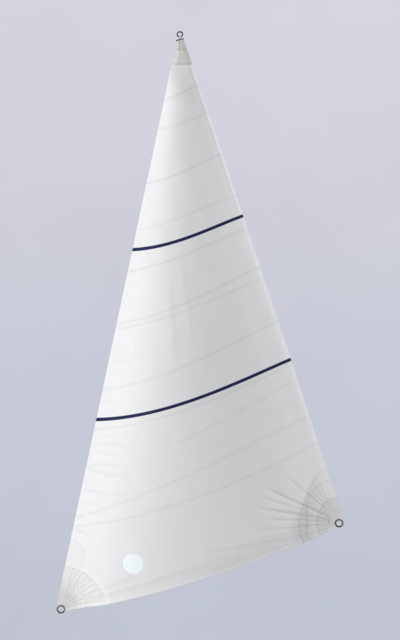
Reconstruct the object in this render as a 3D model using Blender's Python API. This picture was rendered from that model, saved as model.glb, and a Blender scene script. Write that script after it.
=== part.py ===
# A roller-furling genoa, set and full of wind: six lapped cloth panels between three corner rings.
# Metres, +Z up. +X runs from the luff to the leech, +Y to leeward, where the sail bellies out.
# The origin is the centre of the head ring, and the three ring centres lie in the plane Y = 0.

import math
from collections import namedtuple

import bmesh
import bpy
import numpy as np
from mathutils import Matrix

MM = 0.001

# Ring centres, in the plane of the corners
LUFF_LENGTH = 5.950
TACK_X = -1.136
CLEW_X = 1.551
CLEW_Z = -5.000

# How far the cloth reaches outside the lines between the ring centres, low and high, and the round that
# the leech and the foot have besides. The foot's is a share of its length, and is fuller near the clew.
LUFF_MARGIN = (0.051, 0.019)
LEECH_MARGIN = (0.052, 0.018)
LEECH_ROUND = 0.018
FOOT_MARGIN = 0.032
FOOT_ROUND = 0.0195
FOOT_SKEW = 0.5

# Cloth: thickness and gap are measured along Y
CLOTH = 1.3 * MM
GAP = 0.4 * MM
LAYER = CLOTH + GAP
SEAM_LAP = 18 * MM
COLUMNS = 28
EDGE_CROWDING = 0.75

# Belly as a share of the chord, with its fullest point just forward of the middle
CAMBER_HEIGHTS = (0.0, 0.35, 1.0)
CAMBER_DEPTHS = (0.095, 0.135, 0.120)
ENTRY_POWER = 1.0
EXIT_POWER = 1.75
LEECH_TWIST = 0.10
LUFF_SAG = 0.025

# Cloth is flat round each ring and takes up its belly further out
TACK_FLAT, TACK_REACH = 0.075, 0.50
CLEW_FLAT, CLEW_REACH = 0.075, 0.50
HEAD_FLAT, HEAD_REACH = 0.190, 0.75

# Folds: distance from the ring where a corner fold is deepest, and how far a luff wrinkle runs in
CLEW_FOLD_PEAK = 0.35
TACK_FOLD_PEAK = 0.45
WRINKLE_REACH = 0.30

# Corner rings, tack and clew
RING_HOLE = 22 * MM
RING_BARREL = 30 * MM
RING_FLANGE = 41 * MM
RING_LIP = 2.5 * MM
RING_FACE = 3.0 * MM
RING_BACK = 2.2 * MM
RING_SIDES = 32
CORNER_RADIUS = 52 * MM
CORNER_LEAN = 0.45

# Head ring, its webbing strap and the band across the head
HEAD_RING_INNER = 20 * MM
HEAD_RING_OUTER = 34 * MM
HEAD_RING_HALF = 4 * MM
HEAD_RING_LIP = 2.5 * MM
STRAP_WIDTH = 20 * MM
STRAP_THICK = 1.5 * MM
STRAP_END = -0.170
STRAP_TOP = -15.4 * MM
BAND_HEIGHT = 15 * MM
BAND_DROP = 5 * MM
BAND_THICK = 1.5 * MM

# Corner patches: reach from the ring, largest layer first
CLEW_PATCHES = (0.400, 0.315, 0.220)
CLEW_PATCH_UP = (0.560, 0.440, 0.260)
TACK_PATCHES = (0.430, 0.430, 0.255)
TACK_PATCH_UP = (0.720, 0.430, 0.255)
PATCH_SIDES = 7

# Plain round patch, at its share of the foot and its height over the foot
DISC_RADIUS = 0.102
DISC_ALONG = 0.717
DISC_UP = 0.261
DISC_SIDES = 24

STRIPE_WIDTH = 32 * MM

HEAD = np.array([0.0, 0.0])
TACK = np.array([TACK_X, -math.sqrt(LUFF_LENGTH ** 2 - TACK_X ** 2)])
CLEW = np.array([CLEW_X, CLEW_Z])


def unit(vector):
    return vector / np.linalg.norm(vector)


LUFF_WAY = unit(HEAD - TACK)
LEECH_WAY = unit(HEAD - CLEW)
FOOT_WAY = unit(CLEW - TACK)
LUFF_OUT = np.array([-LUFF_WAY[1], LUFF_WAY[0]])
LEECH_OUT = np.array([LEECH_WAY[1], -LEECH_WAY[0]])
DOWN = np.array([FOOT_WAY[1], -FOOT_WAY[0]])
LUFF_LEAN = float(LUFF_OUT @ -FOOT_WAY)
LEECH_LEAN = float(LEECH_OUT @ FOOT_WAY)
HEIGHT = float((HEAD - TACK) @ -DOWN)
HALF_LAP = SEAM_LAP / 2 / HEIGHT
HALF_STRIPE = STRIPE_WIDTH / 2 / HEIGHT
FOOT_EDGE = -FOOT_MARGIN / HEIGHT

# A row is a line across the sail from luff to leech. luff and leech are its heights there, as shares of
# the height over the foot. fan bends it so that it leaves the clew steeply. sag drops its middle, as a
# share of the chord. The last four are fold depths in millimetres, to leeward: near the clew, near the
# tack, at the luff, and all along.
Row = namedtuple("Row", "luff leech fan sag clew tack wrinkle crease")

FOOT_ROW = Row(FOOT_EDGE, FOOT_EDGE, 1.0, FOOT_ROUND, 0.0, 0.0, 0.0, 0.0)

PANEL_ROWS = {
    "panel_1": [
        FOOT_ROW,
        Row(0.000, 0.000, 1.00, 0.000, 4.0, 5.0, 0.0, 2.0),
        Row(0.0226, 0.002, 1.50, 0.002, -2.0, -3.0, 0.0, -1.0),
        Row(0.0406, 0.004, 1.80, 0.004, 4.0, 2.0, 0.0, 0.0),
        Row(0.0566, 0.006, 1.85, 0.006, -2.5, -1.0, 0.0, 0.0),
        Row(0.0705, 0.008, 1.95, 0.009, 4.0, 0.0, 0.0, 0.0),
        Row(0.0845, 0.011, 2.20, 0.012, -2.5, 0.0, 0.0, 0.0),
        Row(0.0965, 0.014, 2.60, 0.015, 3.5, 0.0, -1.0, 0.0),
        Row(0.1075, 0.018, 2.70, 0.018, -2.0, 0.0, 1.0, 0.0),
        Row(0.1174, 0.024, 2.90, 0.020, 4.0, 0.0, -2.0, 0.0),
        Row(0.1254, 0.035, 3.90, 0.022, -2.0, 0.0, -2.0, 0.0),
        Row(0.1314, 0.060, 6.00, 0.023, 2.5, 0.0, 3.0, 0.0),
    ],
    "panel_2": [
        Row(0.1495, 0.185, 1.0, 0.020, 0.0, 0.0, -2.0, 0.0),
        Row(0.1560, 0.2137, 1.0, 0.003, 0.0, 0.0, 3.0, 3.0),
        Row(0.1683, 0.222, 1.0, 0.010, 0.0, 0.0, -3.0, 0.0),
        Row(0.1798, 0.231, 1.0, 0.012, 0.0, 0.0, 3.0, 0.0),
        Row(0.1903, 0.239, 1.0, 0.014, 0.0, 0.0, -3.0, 0.0),
        Row(0.2003, 0.246, 1.0, 0.016, 0.0, 0.0, 4.0, 0.0),
        Row(0.2077, 0.252, 1.0, 0.017, 0.0, 0.0, -2.0, 0.0),
        Row(0.2152, 0.258, 1.0, 0.018, 0.0, 0.0, 3.0, 0.0),
        Row(0.2252, 0.265, 1.0, 0.019, 0.0, 0.0, -3.0, 0.0),
        Row(0.2377, 0.273, 1.0, 0.020, 0.0, 0.0, 5.0, 0.0),
        Row(0.2511, 0.282, 1.0, 0.021, 0.0, 0.0, -3.0, 0.0),
        Row(0.2641, 0.290, 1.0, 0.022, 0.0, 0.0, 3.0, 2.0),
        Row(0.2726, 0.296, 1.0, 0.023, 0.0, 0.0, -2.0, 0.0),
        Row(0.2811, 0.302, 1.0, 0.024, 0.0, 0.0, 3.0, 0.0),
        Row(0.2911, 0.308, 1.0, 0.024, 0.0, 0.0, -2.0, 0.0),
    ],
    "panel_3": [
        Row(0.3231 - HALF_STRIPE, 0.3274 - HALF_STRIPE, 1.0, 0.0264, 0.0, 0.0, 0.0, 0.0),
        Row(0.3231 + HALF_STRIPE, 0.3274 + HALF_STRIPE, 1.0, 0.0264, 0.0, 0.0, 0.0, 0.0),
        Row(0.3380, 0.350, 1.0, 0.022, 0.0, 0.0, -2.0, 0.0),
        Row(0.3519, 0.378, 1.0, 0.016, 0.0, 0.0, 3.0, 0.0),
        Row(0.3735, 0.4067, 1.0, 0.0160, 0.0, 0.0, -1.0, 3.0),
        Row(0.3998, 0.430, 1.0, 0.011, 0.0, 0.0, 0.0, 0.0),
        Row(0.4298, 0.452, 1.0, 0.013, 0.0, 0.0, 0.0, -1.0),
        Row(0.4587, 0.472, 1.0, 0.015, 0.0, 0.0, 0.0, 0.0),
    ],
    "panel_4": [
        Row(0.4885, 0.5176, 1.0, 0.0141, 0.0, 0.0, 2.0, 3.0),
        Row(0.5186, 0.547, 1.0, 0.010, 0.0, 0.0, 0.0, 0.0),
        Row(0.5485, 0.574, 1.0, 0.015, 0.0, 0.0, 0.0, -1.0),
        Row(0.5792, 0.5971, 1.0, 0.0021, 0.0, 0.0, 0.0, 3.0),
        Row(0.6177 - HALF_STRIPE, 0.6222 - HALF_STRIPE, 1.0, 0.0156, 0.0, 0.0, 0.0, 0.0),
        Row(0.6177 + HALF_STRIPE, 0.6222 + HALF_STRIPE, 1.0, 0.0156, 0.0, 0.0, 0.0, 0.0),
        Row(0.6373, 0.6450, 1.0, 0.006, 0.0, 0.0, 0.0, 0.0),
    ],
    "panel_5": [
        Row(0.6932, 0.708, 1.0, 0.001, 0.0, 0.0, 0.0, -1.0),
        Row(0.7346, 0.7514, 1.0, 0.0031, 0.0, 0.0, 0.0, 3.0),
        Row(0.7660, 0.780, 1.0, 0.004, 0.0, 0.0, 0.0, 0.0),
        Row(0.7990, 0.809, 1.0, 0.006, 0.0, 0.0, 0.0, -1.0),
    ],
    "panel_6": [
        Row(0.8568, 0.865, 1.0, -0.006, 0.0, 0.0, 0.0, 0.0),
        Row(0.8834, 0.8927, 1.0, -0.025, 0.0, 0.0, 0.0, 2.0),
        Row(0.9177, 0.921, 1.0, -0.004, 0.0, 0.0, 0.0, 0.0),
        Row(0.9475, 0.935, 1.0, 0.010, 0.0, 0.0, 0.0, 0.0),
        Row(0.9745, 0.967, 1.0, 0.000, 0.0, 0.0, 0.0, 0.0),
        Row(0.9905, 0.9905, 1.0, 0.000, 0.0, 0.0, 0.0, 0.0),
    ],
}

# Seams, from the lowest up
SEAMS = [
    Row(0.1422, 0.1591, 1.0, 0.0324, 0.0, 0.0, -1.0, 0.0),
    Row(0.3063, 0.3166, 1.0, 0.0240, 0.0, 0.0, 1.0, 0.0),
    Row(0.4801, 0.4939, 1.0, 0.0090, 0.0, 0.0, 0.0, 0.0),
    Row(0.6526, 0.6655, 1.0, -0.0023, 0.0, 0.0, 0.0, 0.0),
    Row(0.8317, 0.8382, 1.0, 0.0082, 0.0, 0.0, 0.0, 0.0),
]

# Stripes: the panel, counted from 0, and the row in its table where the stripe starts
STRIPES = {"stripe_lower": (2, 0), "stripe_upper": (3, 4)}

# Head patches: the row of the top panel where each starts, and the rows that a seam's lap adds before it
HEAD_PATCHES = {"head_patch_1": 3, "head_patch_2": 4}
LAP_ROWS = 2

Finish = namedtuple("Finish", "colour roughness metallic")
FINISHES = {
    "sailcloth": Finish((0.86, 0.86, 0.85), 0.60, 0.0),
    "patch_cloth": Finish((0.80, 0.80, 0.79), 0.65, 0.0),
    "stripe_tape": Finish((0.02, 0.03, 0.13), 0.55, 0.0),
    "round_patch": Finish((0.72, 0.78, 0.86), 0.50, 0.0),
    "webbing": Finish((0.55, 0.55, 0.55), 0.80, 0.0),
    "band_tape": Finish((0.12, 0.12, 0.14), 0.75, 0.0),
    "ring_steel": Finish((0.32, 0.33, 0.36), 0.35, 1.0),
}


def clear_scene():
    for thing in list(bpy.data.objects):
        bpy.data.objects.remove(thing, do_unlink=True)


def finish_material(name):
    """The Principled material of one finish, made once."""
    material = bpy.data.materials.get(name) or bpy.data.materials.new(name)
    material.use_nodes = True
    shader = material.node_tree.nodes["Principled BSDF"]
    finish = FINISHES[name]
    shader.inputs["Base Color"].default_value = (*finish.colour, 1.0)
    shader.inputs["Roughness"].default_value = finish.roughness
    shader.inputs["Metallic"].default_value = finish.metallic
    return material


def mix(low, high, share):
    return low + (high - low) * share


def ease(t):
    """Runs from 0 to 1 with no slope or curvature at either end."""
    t = np.clip(t, 0.0, 1.0)
    return t ** 3 * (t * (6 * t - 15) + 10)


def column_shares():
    """Shares of the chord from luff to leech, closer together at both edges."""
    t = np.linspace(0.0, 1.0, COLUMNS + 1)
    return t - EDGE_CROWDING * np.sin(2 * math.pi * t) / (2 * math.pi)


def plane_line(row, lift):
    """A row's points in the plane of the corners, its heights and its chords. lift moves it up the sail."""
    u = column_shares()
    v = row.leech + (row.luff - row.leech) * (1 - u ** row.fan) + lift
    luff_margin = mix(*LUFF_MARGIN, v)
    leech_margin = mix(*LEECH_MARGIN, v) + LEECH_ROUND * 4 * v * (1 - v)
    luff = TACK + np.outer(v, HEAD - TACK) - np.outer(luff_margin / LUFF_LEAN, FOOT_WAY)
    leech = CLEW + np.outer(v, HEAD - CLEW) + np.outer(leech_margin / LEECH_LEAN, FOOT_WAY)
    chord = np.linalg.norm(leech - luff, axis=1)
    drop = row.sag * chord * 4 * u * (1 - u)
    if row is FOOT_ROW:
        drop *= 1 + FOOT_SKEW * (2 * u - 1)
    return luff + (leech - luff) * u[:, None] + np.outer(drop, DOWN), v, chord


def belly(points, v, chord):
    """How far the sail stands to leeward: its section scaled by the chord, eased flat round each ring."""
    u = column_shares()
    fullest = ENTRY_POWER / (ENTRY_POWER + EXIT_POWER)
    section = u ** ENTRY_POWER * (1 - u) ** EXIT_POWER
    section /= fullest ** ENTRY_POWER * (1 - fullest) ** EXIT_POWER
    upright = np.sin(math.pi * np.clip(v, 0.0, 1.0))
    y = np.interp(v, CAMBER_HEIGHTS, CAMBER_DEPTHS) * chord * section
    y += LEECH_TWIST * u ** 2 * upright + LUFF_SAG * (1 - u) * upright
    for ring, flat, reach in (
        (TACK, TACK_FLAT, TACK_REACH),
        (CLEW, CLEW_FLAT, CLEW_REACH),
        (HEAD, HEAD_FLAT, HEAD_REACH),
    ):
        away = np.linalg.norm(points - ring, axis=1)
        y *= ease((away - flat) / (reach - flat))
    return y


def ring_fold(points, ring, flat, peak):
    """Strength of a fold along its length: none on the flat round its ring, most at peak, then fading."""
    away = np.clip(np.linalg.norm(points - ring, axis=1) - flat, 0.0, None) / peak
    return away * np.exp(1 - away)


def folds(row, points, chord):
    """Leeward offset of a row's folds, in metres."""
    u = column_shares()
    along = np.minimum(1.0, 8 * u * (1 - u))
    near_head = ease((np.linalg.norm(points - HEAD, axis=1) - HEAD_FLAT) / HEAD_FLAT)
    depth = row.clew * ring_fold(points, CLEW, CLEW_FLAT, CLEW_FOLD_PEAK)
    depth = depth + row.tack * ring_fold(points, TACK, TACK_FLAT, TACK_FOLD_PEAK)
    depth = depth + row.wrinkle * np.exp(-((u * chord / WRINKLE_REACH) ** 2))
    return MM * near_head * (depth + row.crease * along)


def cloth_line(row, lift=0.0):
    """A row's points on the cloth's middle, as X, Y, Z."""
    points, v, chord = plane_line(row, lift)
    flat = np.ones(len(v))
    for ring, size in ((TACK, TACK_FLAT), (CLEW, CLEW_FLAT)):
        flat *= ease((np.linalg.norm(points - ring, axis=1) - size) / size)
    y = belly(points, v, chord) + flat * folds(row, points, chord)
    return np.column_stack((points[:, 0], y, points[:, 1]))


def panel_lines(index):
    """All rows of a panel as an array of rows by columns, its laps included."""
    rows = [cloth_line(row) for row in PANEL_ROWS[f"panel_{index + 1}"]]
    if index > 0:
        rows = [cloth_line(SEAMS[index - 1], lift) for lift in (-HALF_LAP, HALF_LAP)] + rows
    if index < len(SEAMS):
        rows += [cloth_line(SEAMS[index], lift) for lift in (-HALF_LAP, HALF_LAP)]
    lines = np.array(rows)
    if index > 0:
        # The lower edge lies one layer in front of the panel below, and comes back by the middle
        steps = np.arange(len(lines))
        lines[:, :, 1] -= LAYER * np.clip(1 - (steps - 1) / (len(lines) / 2), 0.0, 1.0)[:, None]
    return lines


def sheet_mesh(lines):
    """An open sheet of triangles through rows by columns of points."""
    rows, columns = lines.shape[:2]
    bm = bmesh.new()
    verts = [bm.verts.new(point) for point in lines.reshape(-1, 3)]
    for i in range(rows - 1):
        for j in range(columns - 1):
            a, b = verts[i * columns + j], verts[i * columns + j + 1]
            c, d = verts[(i + 1) * columns + j + 1], verts[(i + 1) * columns + j]
            bm.faces.new((a, b, c))
            bm.faces.new((a, c, d))
    return bm


def trim(bm, point, outward):
    """Cuts off the part of a sheet that lies outside a line in the plane of the corners."""
    everything = bm.verts[:] + bm.edges[:] + bm.faces[:]
    bmesh.ops.bisect_plane(
        bm,
        geom=everything,
        dist=1e-6,
        plane_co=(point[0], 0.0, point[1]),
        plane_no=(outward[0], 0.0, outward[1]),
        clear_outer=True,
    )


def trim_arc(bm, centre, first, last, first_reach, last_reach, sides):
    """Cuts a sheet to a rounded end about centre, turning from one direction to another."""
    turn = math.atan2(first[0] * last[1] - first[1] * last[0], first @ last)
    start = math.atan2(first[1], first[0])
    for k in range(sides):
        share = k / (sides - 1)
        angle = start + turn * share
        way = np.array([math.cos(angle), math.sin(angle)])
        trim(bm, centre + way * mix(first_reach, last_reach, share), way)


def give_thickness(bm, near, far):
    """Turns a sheet into a solid that reaches from far to near along Y."""
    bmesh.ops.translate(bm, verts=bm.verts[:], vec=(0.0, far, 0.0))
    made = bmesh.ops.extrude_face_region(bm, geom=bm.faces[:], use_keep_orig=True)
    front = [item for item in made["geom"] if isinstance(item, bmesh.types.BMVert)]
    bmesh.ops.translate(bm, verts=front, vec=(0.0, near - far, 0.0))
    bmesh.ops.recalc_face_normals(bm, faces=bm.faces[:])


def add_object(name, bm, finish, smooth_angle=None):
    mesh = bpy.data.meshes.new(name)
    bm.to_mesh(mesh)
    bm.free()
    if smooth_angle is not None:
        mesh.shade_smooth()
        mesh.set_sharp_from_angle(angle=smooth_angle)
    mesh.materials.append(finish_material(finish))
    thing = bpy.data.objects.new(name, mesh)
    bpy.context.scene.collection.objects.link(thing)
    return thing


def round_corners(bm):
    """Rounds a sheet's tack and clew corners about their rings, and leaves the round of the foot whole."""
    trim_arc(bm, TACK, LUFF_OUT, DOWN - CORNER_LEAN * FOOT_WAY, CORNER_RADIUS, CORNER_RADIUS, PATCH_SIDES)
    trim_arc(bm, CLEW, LEECH_OUT, DOWN + CORNER_LEAN * FOOT_WAY, CORNER_RADIUS, CORNER_RADIUS, PATCH_SIDES)


def hole_cutter(name, ring):
    """A hidden cylinder along Y that cuts the ring's hole through the cloth."""
    bm = bmesh.new()
    bmesh.ops.create_cone(
        bm,
        cap_ends=True,
        segments=RING_SIDES,
        radius1=RING_BARREL + GAP,
        radius2=RING_BARREL + GAP,
        depth=CORNER_RADIUS,
    )
    bmesh.ops.rotate(bm, verts=bm.verts[:], matrix=Matrix.Rotation(math.pi / 2, 3, "X"))
    bmesh.ops.translate(bm, verts=bm.verts[:], vec=(ring[0], 0.0, ring[1]))
    cutter = add_object(name, bm, "ring_steel")
    cutter.hide_render = True
    cutter.display_type = "WIRE"
    return cutter


def cut_hole(thing, cutter):
    hole = thing.modifiers.new("Ring hole", "BOOLEAN")
    hole.operation = "DIFFERENCE"
    hole.solver = "EXACT"
    hole.object = cutter


def turned_ring(name, centre, profile):
    """A closed profile of radius and Y turned round an axis along Y."""
    turn = np.linspace(0.0, 2 * math.pi, RING_SIDES, endpoint=False)
    bm = bmesh.new()
    loops = [
        [bm.verts.new((centre[0] + r * math.cos(a), y, centre[1] + r * math.sin(a))) for a in turn]
        for r, y in profile
    ]
    for k, loop in enumerate(loops):
        nearby = loops[(k + 1) % len(loops)]
        for i in range(RING_SIDES):
            j = (i + 1) % RING_SIDES
            bm.faces.new((loop[i], loop[j], nearby[j], nearby[i]))
    bmesh.ops.recalc_face_normals(bm, faces=bm.faces[:])
    return add_object(name, bm, "ring_steel", smooth_angle=math.radians(30))


def layer_span(layer):
    """Near and far Y of a layer on the windward face, 1 being the first on the panel."""
    far = -CLOTH / 2 - GAP - (layer - 1) * LAYER
    return far - CLOTH, far


def corner_ring(name, centre, layers):
    """A pressed ring: a barrel through the cloth with a flange on each face."""
    near = layer_span(layers)[0] - GAP
    far = CLOTH / 2 + GAP
    face = near - RING_FACE
    back = far + RING_BACK
    profile = [
        (RING_HOLE, face + RING_LIP / 2),
        (RING_HOLE + RING_LIP, face),
        (RING_FLANGE - RING_LIP, face),
        (RING_FLANGE, face + RING_LIP / 2),
        (RING_FLANGE, near),
        (RING_BARREL, near),
        (RING_BARREL, far),
        (RING_FLANGE, far),
        (RING_FLANGE, back - RING_LIP / 2),
        (RING_FLANGE - RING_LIP, back),
        (RING_HOLE + RING_LIP, back),
        (RING_HOLE, back - RING_LIP / 2),
    ]
    return turned_ring(name, centre, profile)


def head_ring():
    lip = HEAD_RING_LIP
    half = HEAD_RING_HALF
    low = half - lip * 0.6
    profile = [
        (HEAD_RING_INNER, -low),
        (HEAD_RING_INNER + lip, -half),
        (HEAD_RING_OUTER - lip, -half),
        (HEAD_RING_OUTER, -low),
        (HEAD_RING_OUTER, low),
        (HEAD_RING_OUTER - lip, half),
        (HEAD_RING_INNER + lip, half),
        (HEAD_RING_INNER, low),
    ]
    return turned_ring("head_ring", HEAD, profile)


def extrude_outline(name, outline, start, way, finish):
    """A solid from a closed outline of points, carried along way from start."""
    bm = bmesh.new()
    verts = [bm.verts.new(np.array(point) + start) for point in outline]
    face = bm.faces.new(verts)
    made = bmesh.ops.extrude_face_region(bm, geom=[face], use_keep_orig=True)
    moved = [item for item in made["geom"] if isinstance(item, bmesh.types.BMVert)]
    bmesh.ops.translate(bm, verts=moved, vec=way)
    bmesh.ops.recalc_face_normals(bm, faces=bm.faces[:])
    return add_object(name, bm, finish)


def head_strap():
    """Webbing led through the head ring and down both faces of the head."""
    front = layer_span(len(HEAD_PATCHES))[0] - GAP
    back = CLOTH / 2 + GAP
    side = HEAD_RING_HALF + GAP + 0.05 * MM
    under = STRAP_TOP - STRAP_THICK
    bend = 1.4 * MM
    ring_foot = -(HEAD_RING_OUTER + 3 * MM)
    cloth_top = ring_foot - 9 * MM
    inner = [
        (back, STRAP_END),
        (back, cloth_top),
        (side, ring_foot),
        (side, under - bend),
        (side - bend, under),
        (front + bend, under),
        (front, under - bend),
        (front, STRAP_END),
    ]
    outer = [
        (front - STRAP_THICK, STRAP_END),
        (front - STRAP_THICK, under - bend),
        (front, STRAP_TOP),
        (side, STRAP_TOP),
        (side + STRAP_THICK, under - bend),
        (side + STRAP_THICK, ring_foot),
        (back + STRAP_THICK, cloth_top),
        (back + STRAP_THICK, STRAP_END),
    ]
    outline = [(0.0, y, z) for y, z in inner + outer]
    start = np.array([-STRAP_WIDTH / 2, 0.0, 0.0])
    return extrude_outline("head_strap", outline, start, (STRAP_WIDTH, 0.0, 0.0), "webbing")


def head_band():
    """A flat tube of tape round the head, along the cloth's top edge."""
    near = layer_span(len(HEAD_PATCHES))[0] - 2 * GAP - STRAP_THICK
    far = CLOTH / 2 + 2 * GAP + STRAP_THICK
    low_edge = plane_line(PANEL_ROWS["panel_6"][-1], -(BAND_DROP + BAND_HEIGHT / 2) / HEIGHT)[0][[0, -1]]
    half = np.linalg.norm(low_edge[1] - low_edge[0]) / 2 + GAP
    middle = low_edge.mean(axis=0) - DOWN * BAND_HEIGHT / 2
    bm = bmesh.new()
    loops = []
    for end in (-0.5, 0.5):
        for grow in (0.0, BAND_THICK):
            corners = []
            for side, y in ((-1, near - grow), (1, near - grow), (1, far + grow), (-1, far + grow)):
                spot = middle + FOOT_WAY * side * (half + grow) + DOWN * BAND_HEIGHT * end
                corners.append(bm.verts.new((spot[0], y, spot[1])))
            loops.append(corners)
    top_in, top_out, low_in, low_out = loops
    for first, second in ((top_in, top_out), (top_out, low_out), (low_out, low_in), (low_in, top_in)):
        for i in range(4):
            j = (i + 1) % 4
            bm.faces.new((first[i], first[j], second[j], second[i]))
    bmesh.ops.recalc_face_normals(bm, faces=bm.faces[:])
    return add_object("head_band", bm, "band_tape")


def make_panels(tack_cutter, clew_cutter):
    for index in range(len(PANEL_ROWS)):
        bm = sheet_mesh(panel_lines(index))
        if index == 0:
            round_corners(bm)
        give_thickness(bm, -CLOTH / 2, CLOTH / 2)
        panel = add_object(f"panel_{index + 1}", bm, "sailcloth", smooth_angle=math.radians(30))
        if index == 0:
            cut_hole(panel, tack_cutter)
            cut_hole(panel, clew_cutter)


def make_corner_patches(tack_cutter, clew_cutter):
    lowest = panel_lines(0)
    corners = (
        ("tack", TACK, LUFF_WAY, FOOT_WAY, TACK_PATCH_UP, TACK_PATCHES, tack_cutter),
        ("clew", CLEW, LEECH_WAY, -FOOT_WAY, CLEW_PATCH_UP, CLEW_PATCHES, clew_cutter),
    )
    for name, centre, up_way, foot_way, up_reach, foot_reach, cutter in corners:
        for k, (up, along) in enumerate(zip(up_reach, foot_reach)):
            bm = sheet_mesh(lowest)
            round_corners(bm)
            trim_arc(bm, centre, up_way, foot_way, up, along, PATCH_SIDES)
            give_thickness(bm, *layer_span(k + 1))
            patch = add_object(f"{name}_patch_{k + 1}", bm, "patch_cloth")
            cut_hole(patch, cutter)


def make_head_patches():
    highest = panel_lines(len(SEAMS))
    for k, (name, row) in enumerate(HEAD_PATCHES.items()):
        bm = sheet_mesh(highest[LAP_ROWS + row:])
        give_thickness(bm, *layer_span(k + 1))
        add_object(name, bm, "patch_cloth")


def make_stripes():
    for name, (index, row) in STRIPES.items():
        first = LAP_ROWS + row
        bm = sheet_mesh(panel_lines(index)[first:first + 2])
        give_thickness(bm, *layer_span(1))
        add_object(name, bm, "stripe_tape")


def make_round_patch():
    centre = TACK + (CLEW - TACK) * (1 - DISC_ALONG) - DOWN * DISC_UP
    bm = sheet_mesh(panel_lines(0))
    for k in range(DISC_SIDES):
        angle = 2 * math.pi * k / DISC_SIDES
        way = np.array([math.cos(angle), math.sin(angle)])
        trim(bm, centre + way * DISC_RADIUS, way)
    give_thickness(bm, *layer_span(1))
    add_object("round_patch", bm, "round_patch")


def main():
    clear_scene()
    tack_cutter = hole_cutter("tack_hole_cutter", TACK)
    clew_cutter = hole_cutter("clew_hole_cutter", CLEW)
    make_panels(tack_cutter, clew_cutter)
    make_corner_patches(tack_cutter, clew_cutter)
    make_head_patches()
    make_stripes()
    make_round_patch()
    corner_ring("tack_ring", TACK, len(TACK_PATCHES))
    corner_ring("clew_ring", CLEW, len(CLEW_PATCHES))
    head_ring()
    head_strap()
    head_band()


main()
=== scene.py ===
# Roller-furling genoa, set and full of wind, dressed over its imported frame.
# Metres. X runs from the luff to the leech, Y to leeward, Z up, from the centre of the head ring.

import math

import bmesh
import bpy
import numpy as np
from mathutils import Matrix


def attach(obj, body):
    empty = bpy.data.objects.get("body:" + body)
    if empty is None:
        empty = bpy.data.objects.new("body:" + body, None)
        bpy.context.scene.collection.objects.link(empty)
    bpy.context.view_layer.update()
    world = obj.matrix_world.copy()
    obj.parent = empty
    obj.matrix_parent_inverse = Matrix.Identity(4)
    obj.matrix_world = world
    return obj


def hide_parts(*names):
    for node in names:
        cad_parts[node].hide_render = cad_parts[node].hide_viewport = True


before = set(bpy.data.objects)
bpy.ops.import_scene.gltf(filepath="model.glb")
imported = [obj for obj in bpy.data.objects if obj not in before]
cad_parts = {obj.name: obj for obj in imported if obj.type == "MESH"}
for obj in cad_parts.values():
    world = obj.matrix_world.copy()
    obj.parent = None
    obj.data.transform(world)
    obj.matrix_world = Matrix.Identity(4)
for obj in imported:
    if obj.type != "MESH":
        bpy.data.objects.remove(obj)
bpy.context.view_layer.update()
scene = bpy.context.scene
mm = 0.001

# Shape of the sail, with the sizes that its frame was cut to
sailPlan = {
    "luffLength": 5.950,
    "tackX": -1.136,
    "clew": (1.551, -5.000),
    "luffMargin": (0.051, 0.019),  # cloth outside the line between the rings, low and high
    "leechMargin": (0.052, 0.018),
    "leechRound": 0.018,
    "footMargin": 0.032,
    "footRound": 0.0195,
    "footSkew": 0.5,  # the foot's round is fuller near the clew
    "camberHeights": (0.0, 0.35, 1.0),
    "camberDepths": (0.095, 0.135, 0.120),
    "entryPower": 1.0,
    "exitPower": 1.75,
    "leechTwist": 0.10,
    "luffSag": 0.025,
    "tackFlat": (0.075, 0.50),  # flat round the ring, and where the full belly starts
    "clewFlat": (0.075, 0.50),
    "headFlat": (0.190, 0.75),
    "headTop": 0.9905,
    "cornerRadius": 52 * mm,
    "cornerLean": 0.45,  # how far a corner's trims go on past square off the foot
    "opening": (32 * mm, 33 * mm),  # cloth nearer the ring goes, and the edge left is drawn to this circle
    "calm": (0.06, 0.13),  # no folds nearer a corner ring than the first, and full ones past the second
    "calmHead": (0.19, 0.38),
}

# Seams from the lowest up: height share at the luff and at the leech, and sag as a share of the chord
seamLines = [
    (0.1422, 0.1591, 0.0324),
    (0.3063, 0.3166, 0.0240),
    (0.4801, 0.4939, 0.0090),
    (0.6526, 0.6655, -0.0023),
    (0.8317, 0.8382, 0.0082),
]

# Cloth layers, measured along Y
cloth = {
    "thick": 1.3 * mm,
    "gap": 0.4 * mm,
    "seamLap": 18 * mm,
    "cell": 9.5 * mm,
}
clothLayer = cloth["thick"] + cloth["gap"]

head = np.zeros(2)
tack = np.array([sailPlan["tackX"], -math.sqrt(sailPlan["luffLength"] ** 2 - sailPlan["tackX"] ** 2)])
clew = np.array(sailPlan["clew"])
luffWay = (head - tack) / np.linalg.norm(head - tack)
leechWay = (head - clew) / np.linalg.norm(head - clew)
footWay = (clew - tack) / np.linalg.norm(clew - tack)
luffOut = np.array([-luffWay[1], luffWay[0]])
leechOut = np.array([leechWay[1], -leechWay[0]])
upWay = np.array([-footWay[1], footWay[0]])
sailHeight = float((head - tack) @ upWay)
footLength = float(np.linalg.norm(clew - tack))
luffLean = float(luffOut @ -footWay)
leechLean = float(leechOut @ footWay)


def mix(low, high, share):
    return low + (high - low) * share


# Runs from 0 to 1 with no slope or curvature at either end: t^3 (6t^2 - 15t + 10)
def ease(t):
    t = np.clip(t, 0.0, 1.0)
    return t ** 3 * (t * (6 * t - 15) + 10)


# Distances along the foot's direction from the tack to the luff edge and to the leech edge, at height share v
def edgeReaches(v):
    luff = float((head - tack) @ footWay) * v - mix(*sailPlan["luffMargin"], v) / luffLean
    leechMargin = mix(*sailPlan["leechMargin"], v) + sailPlan["leechRound"] * 4 * v * (1 - v)
    leech = footLength + float((head - clew) @ footWay) * v + leechMargin / leechLean
    return luff, leech


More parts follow.
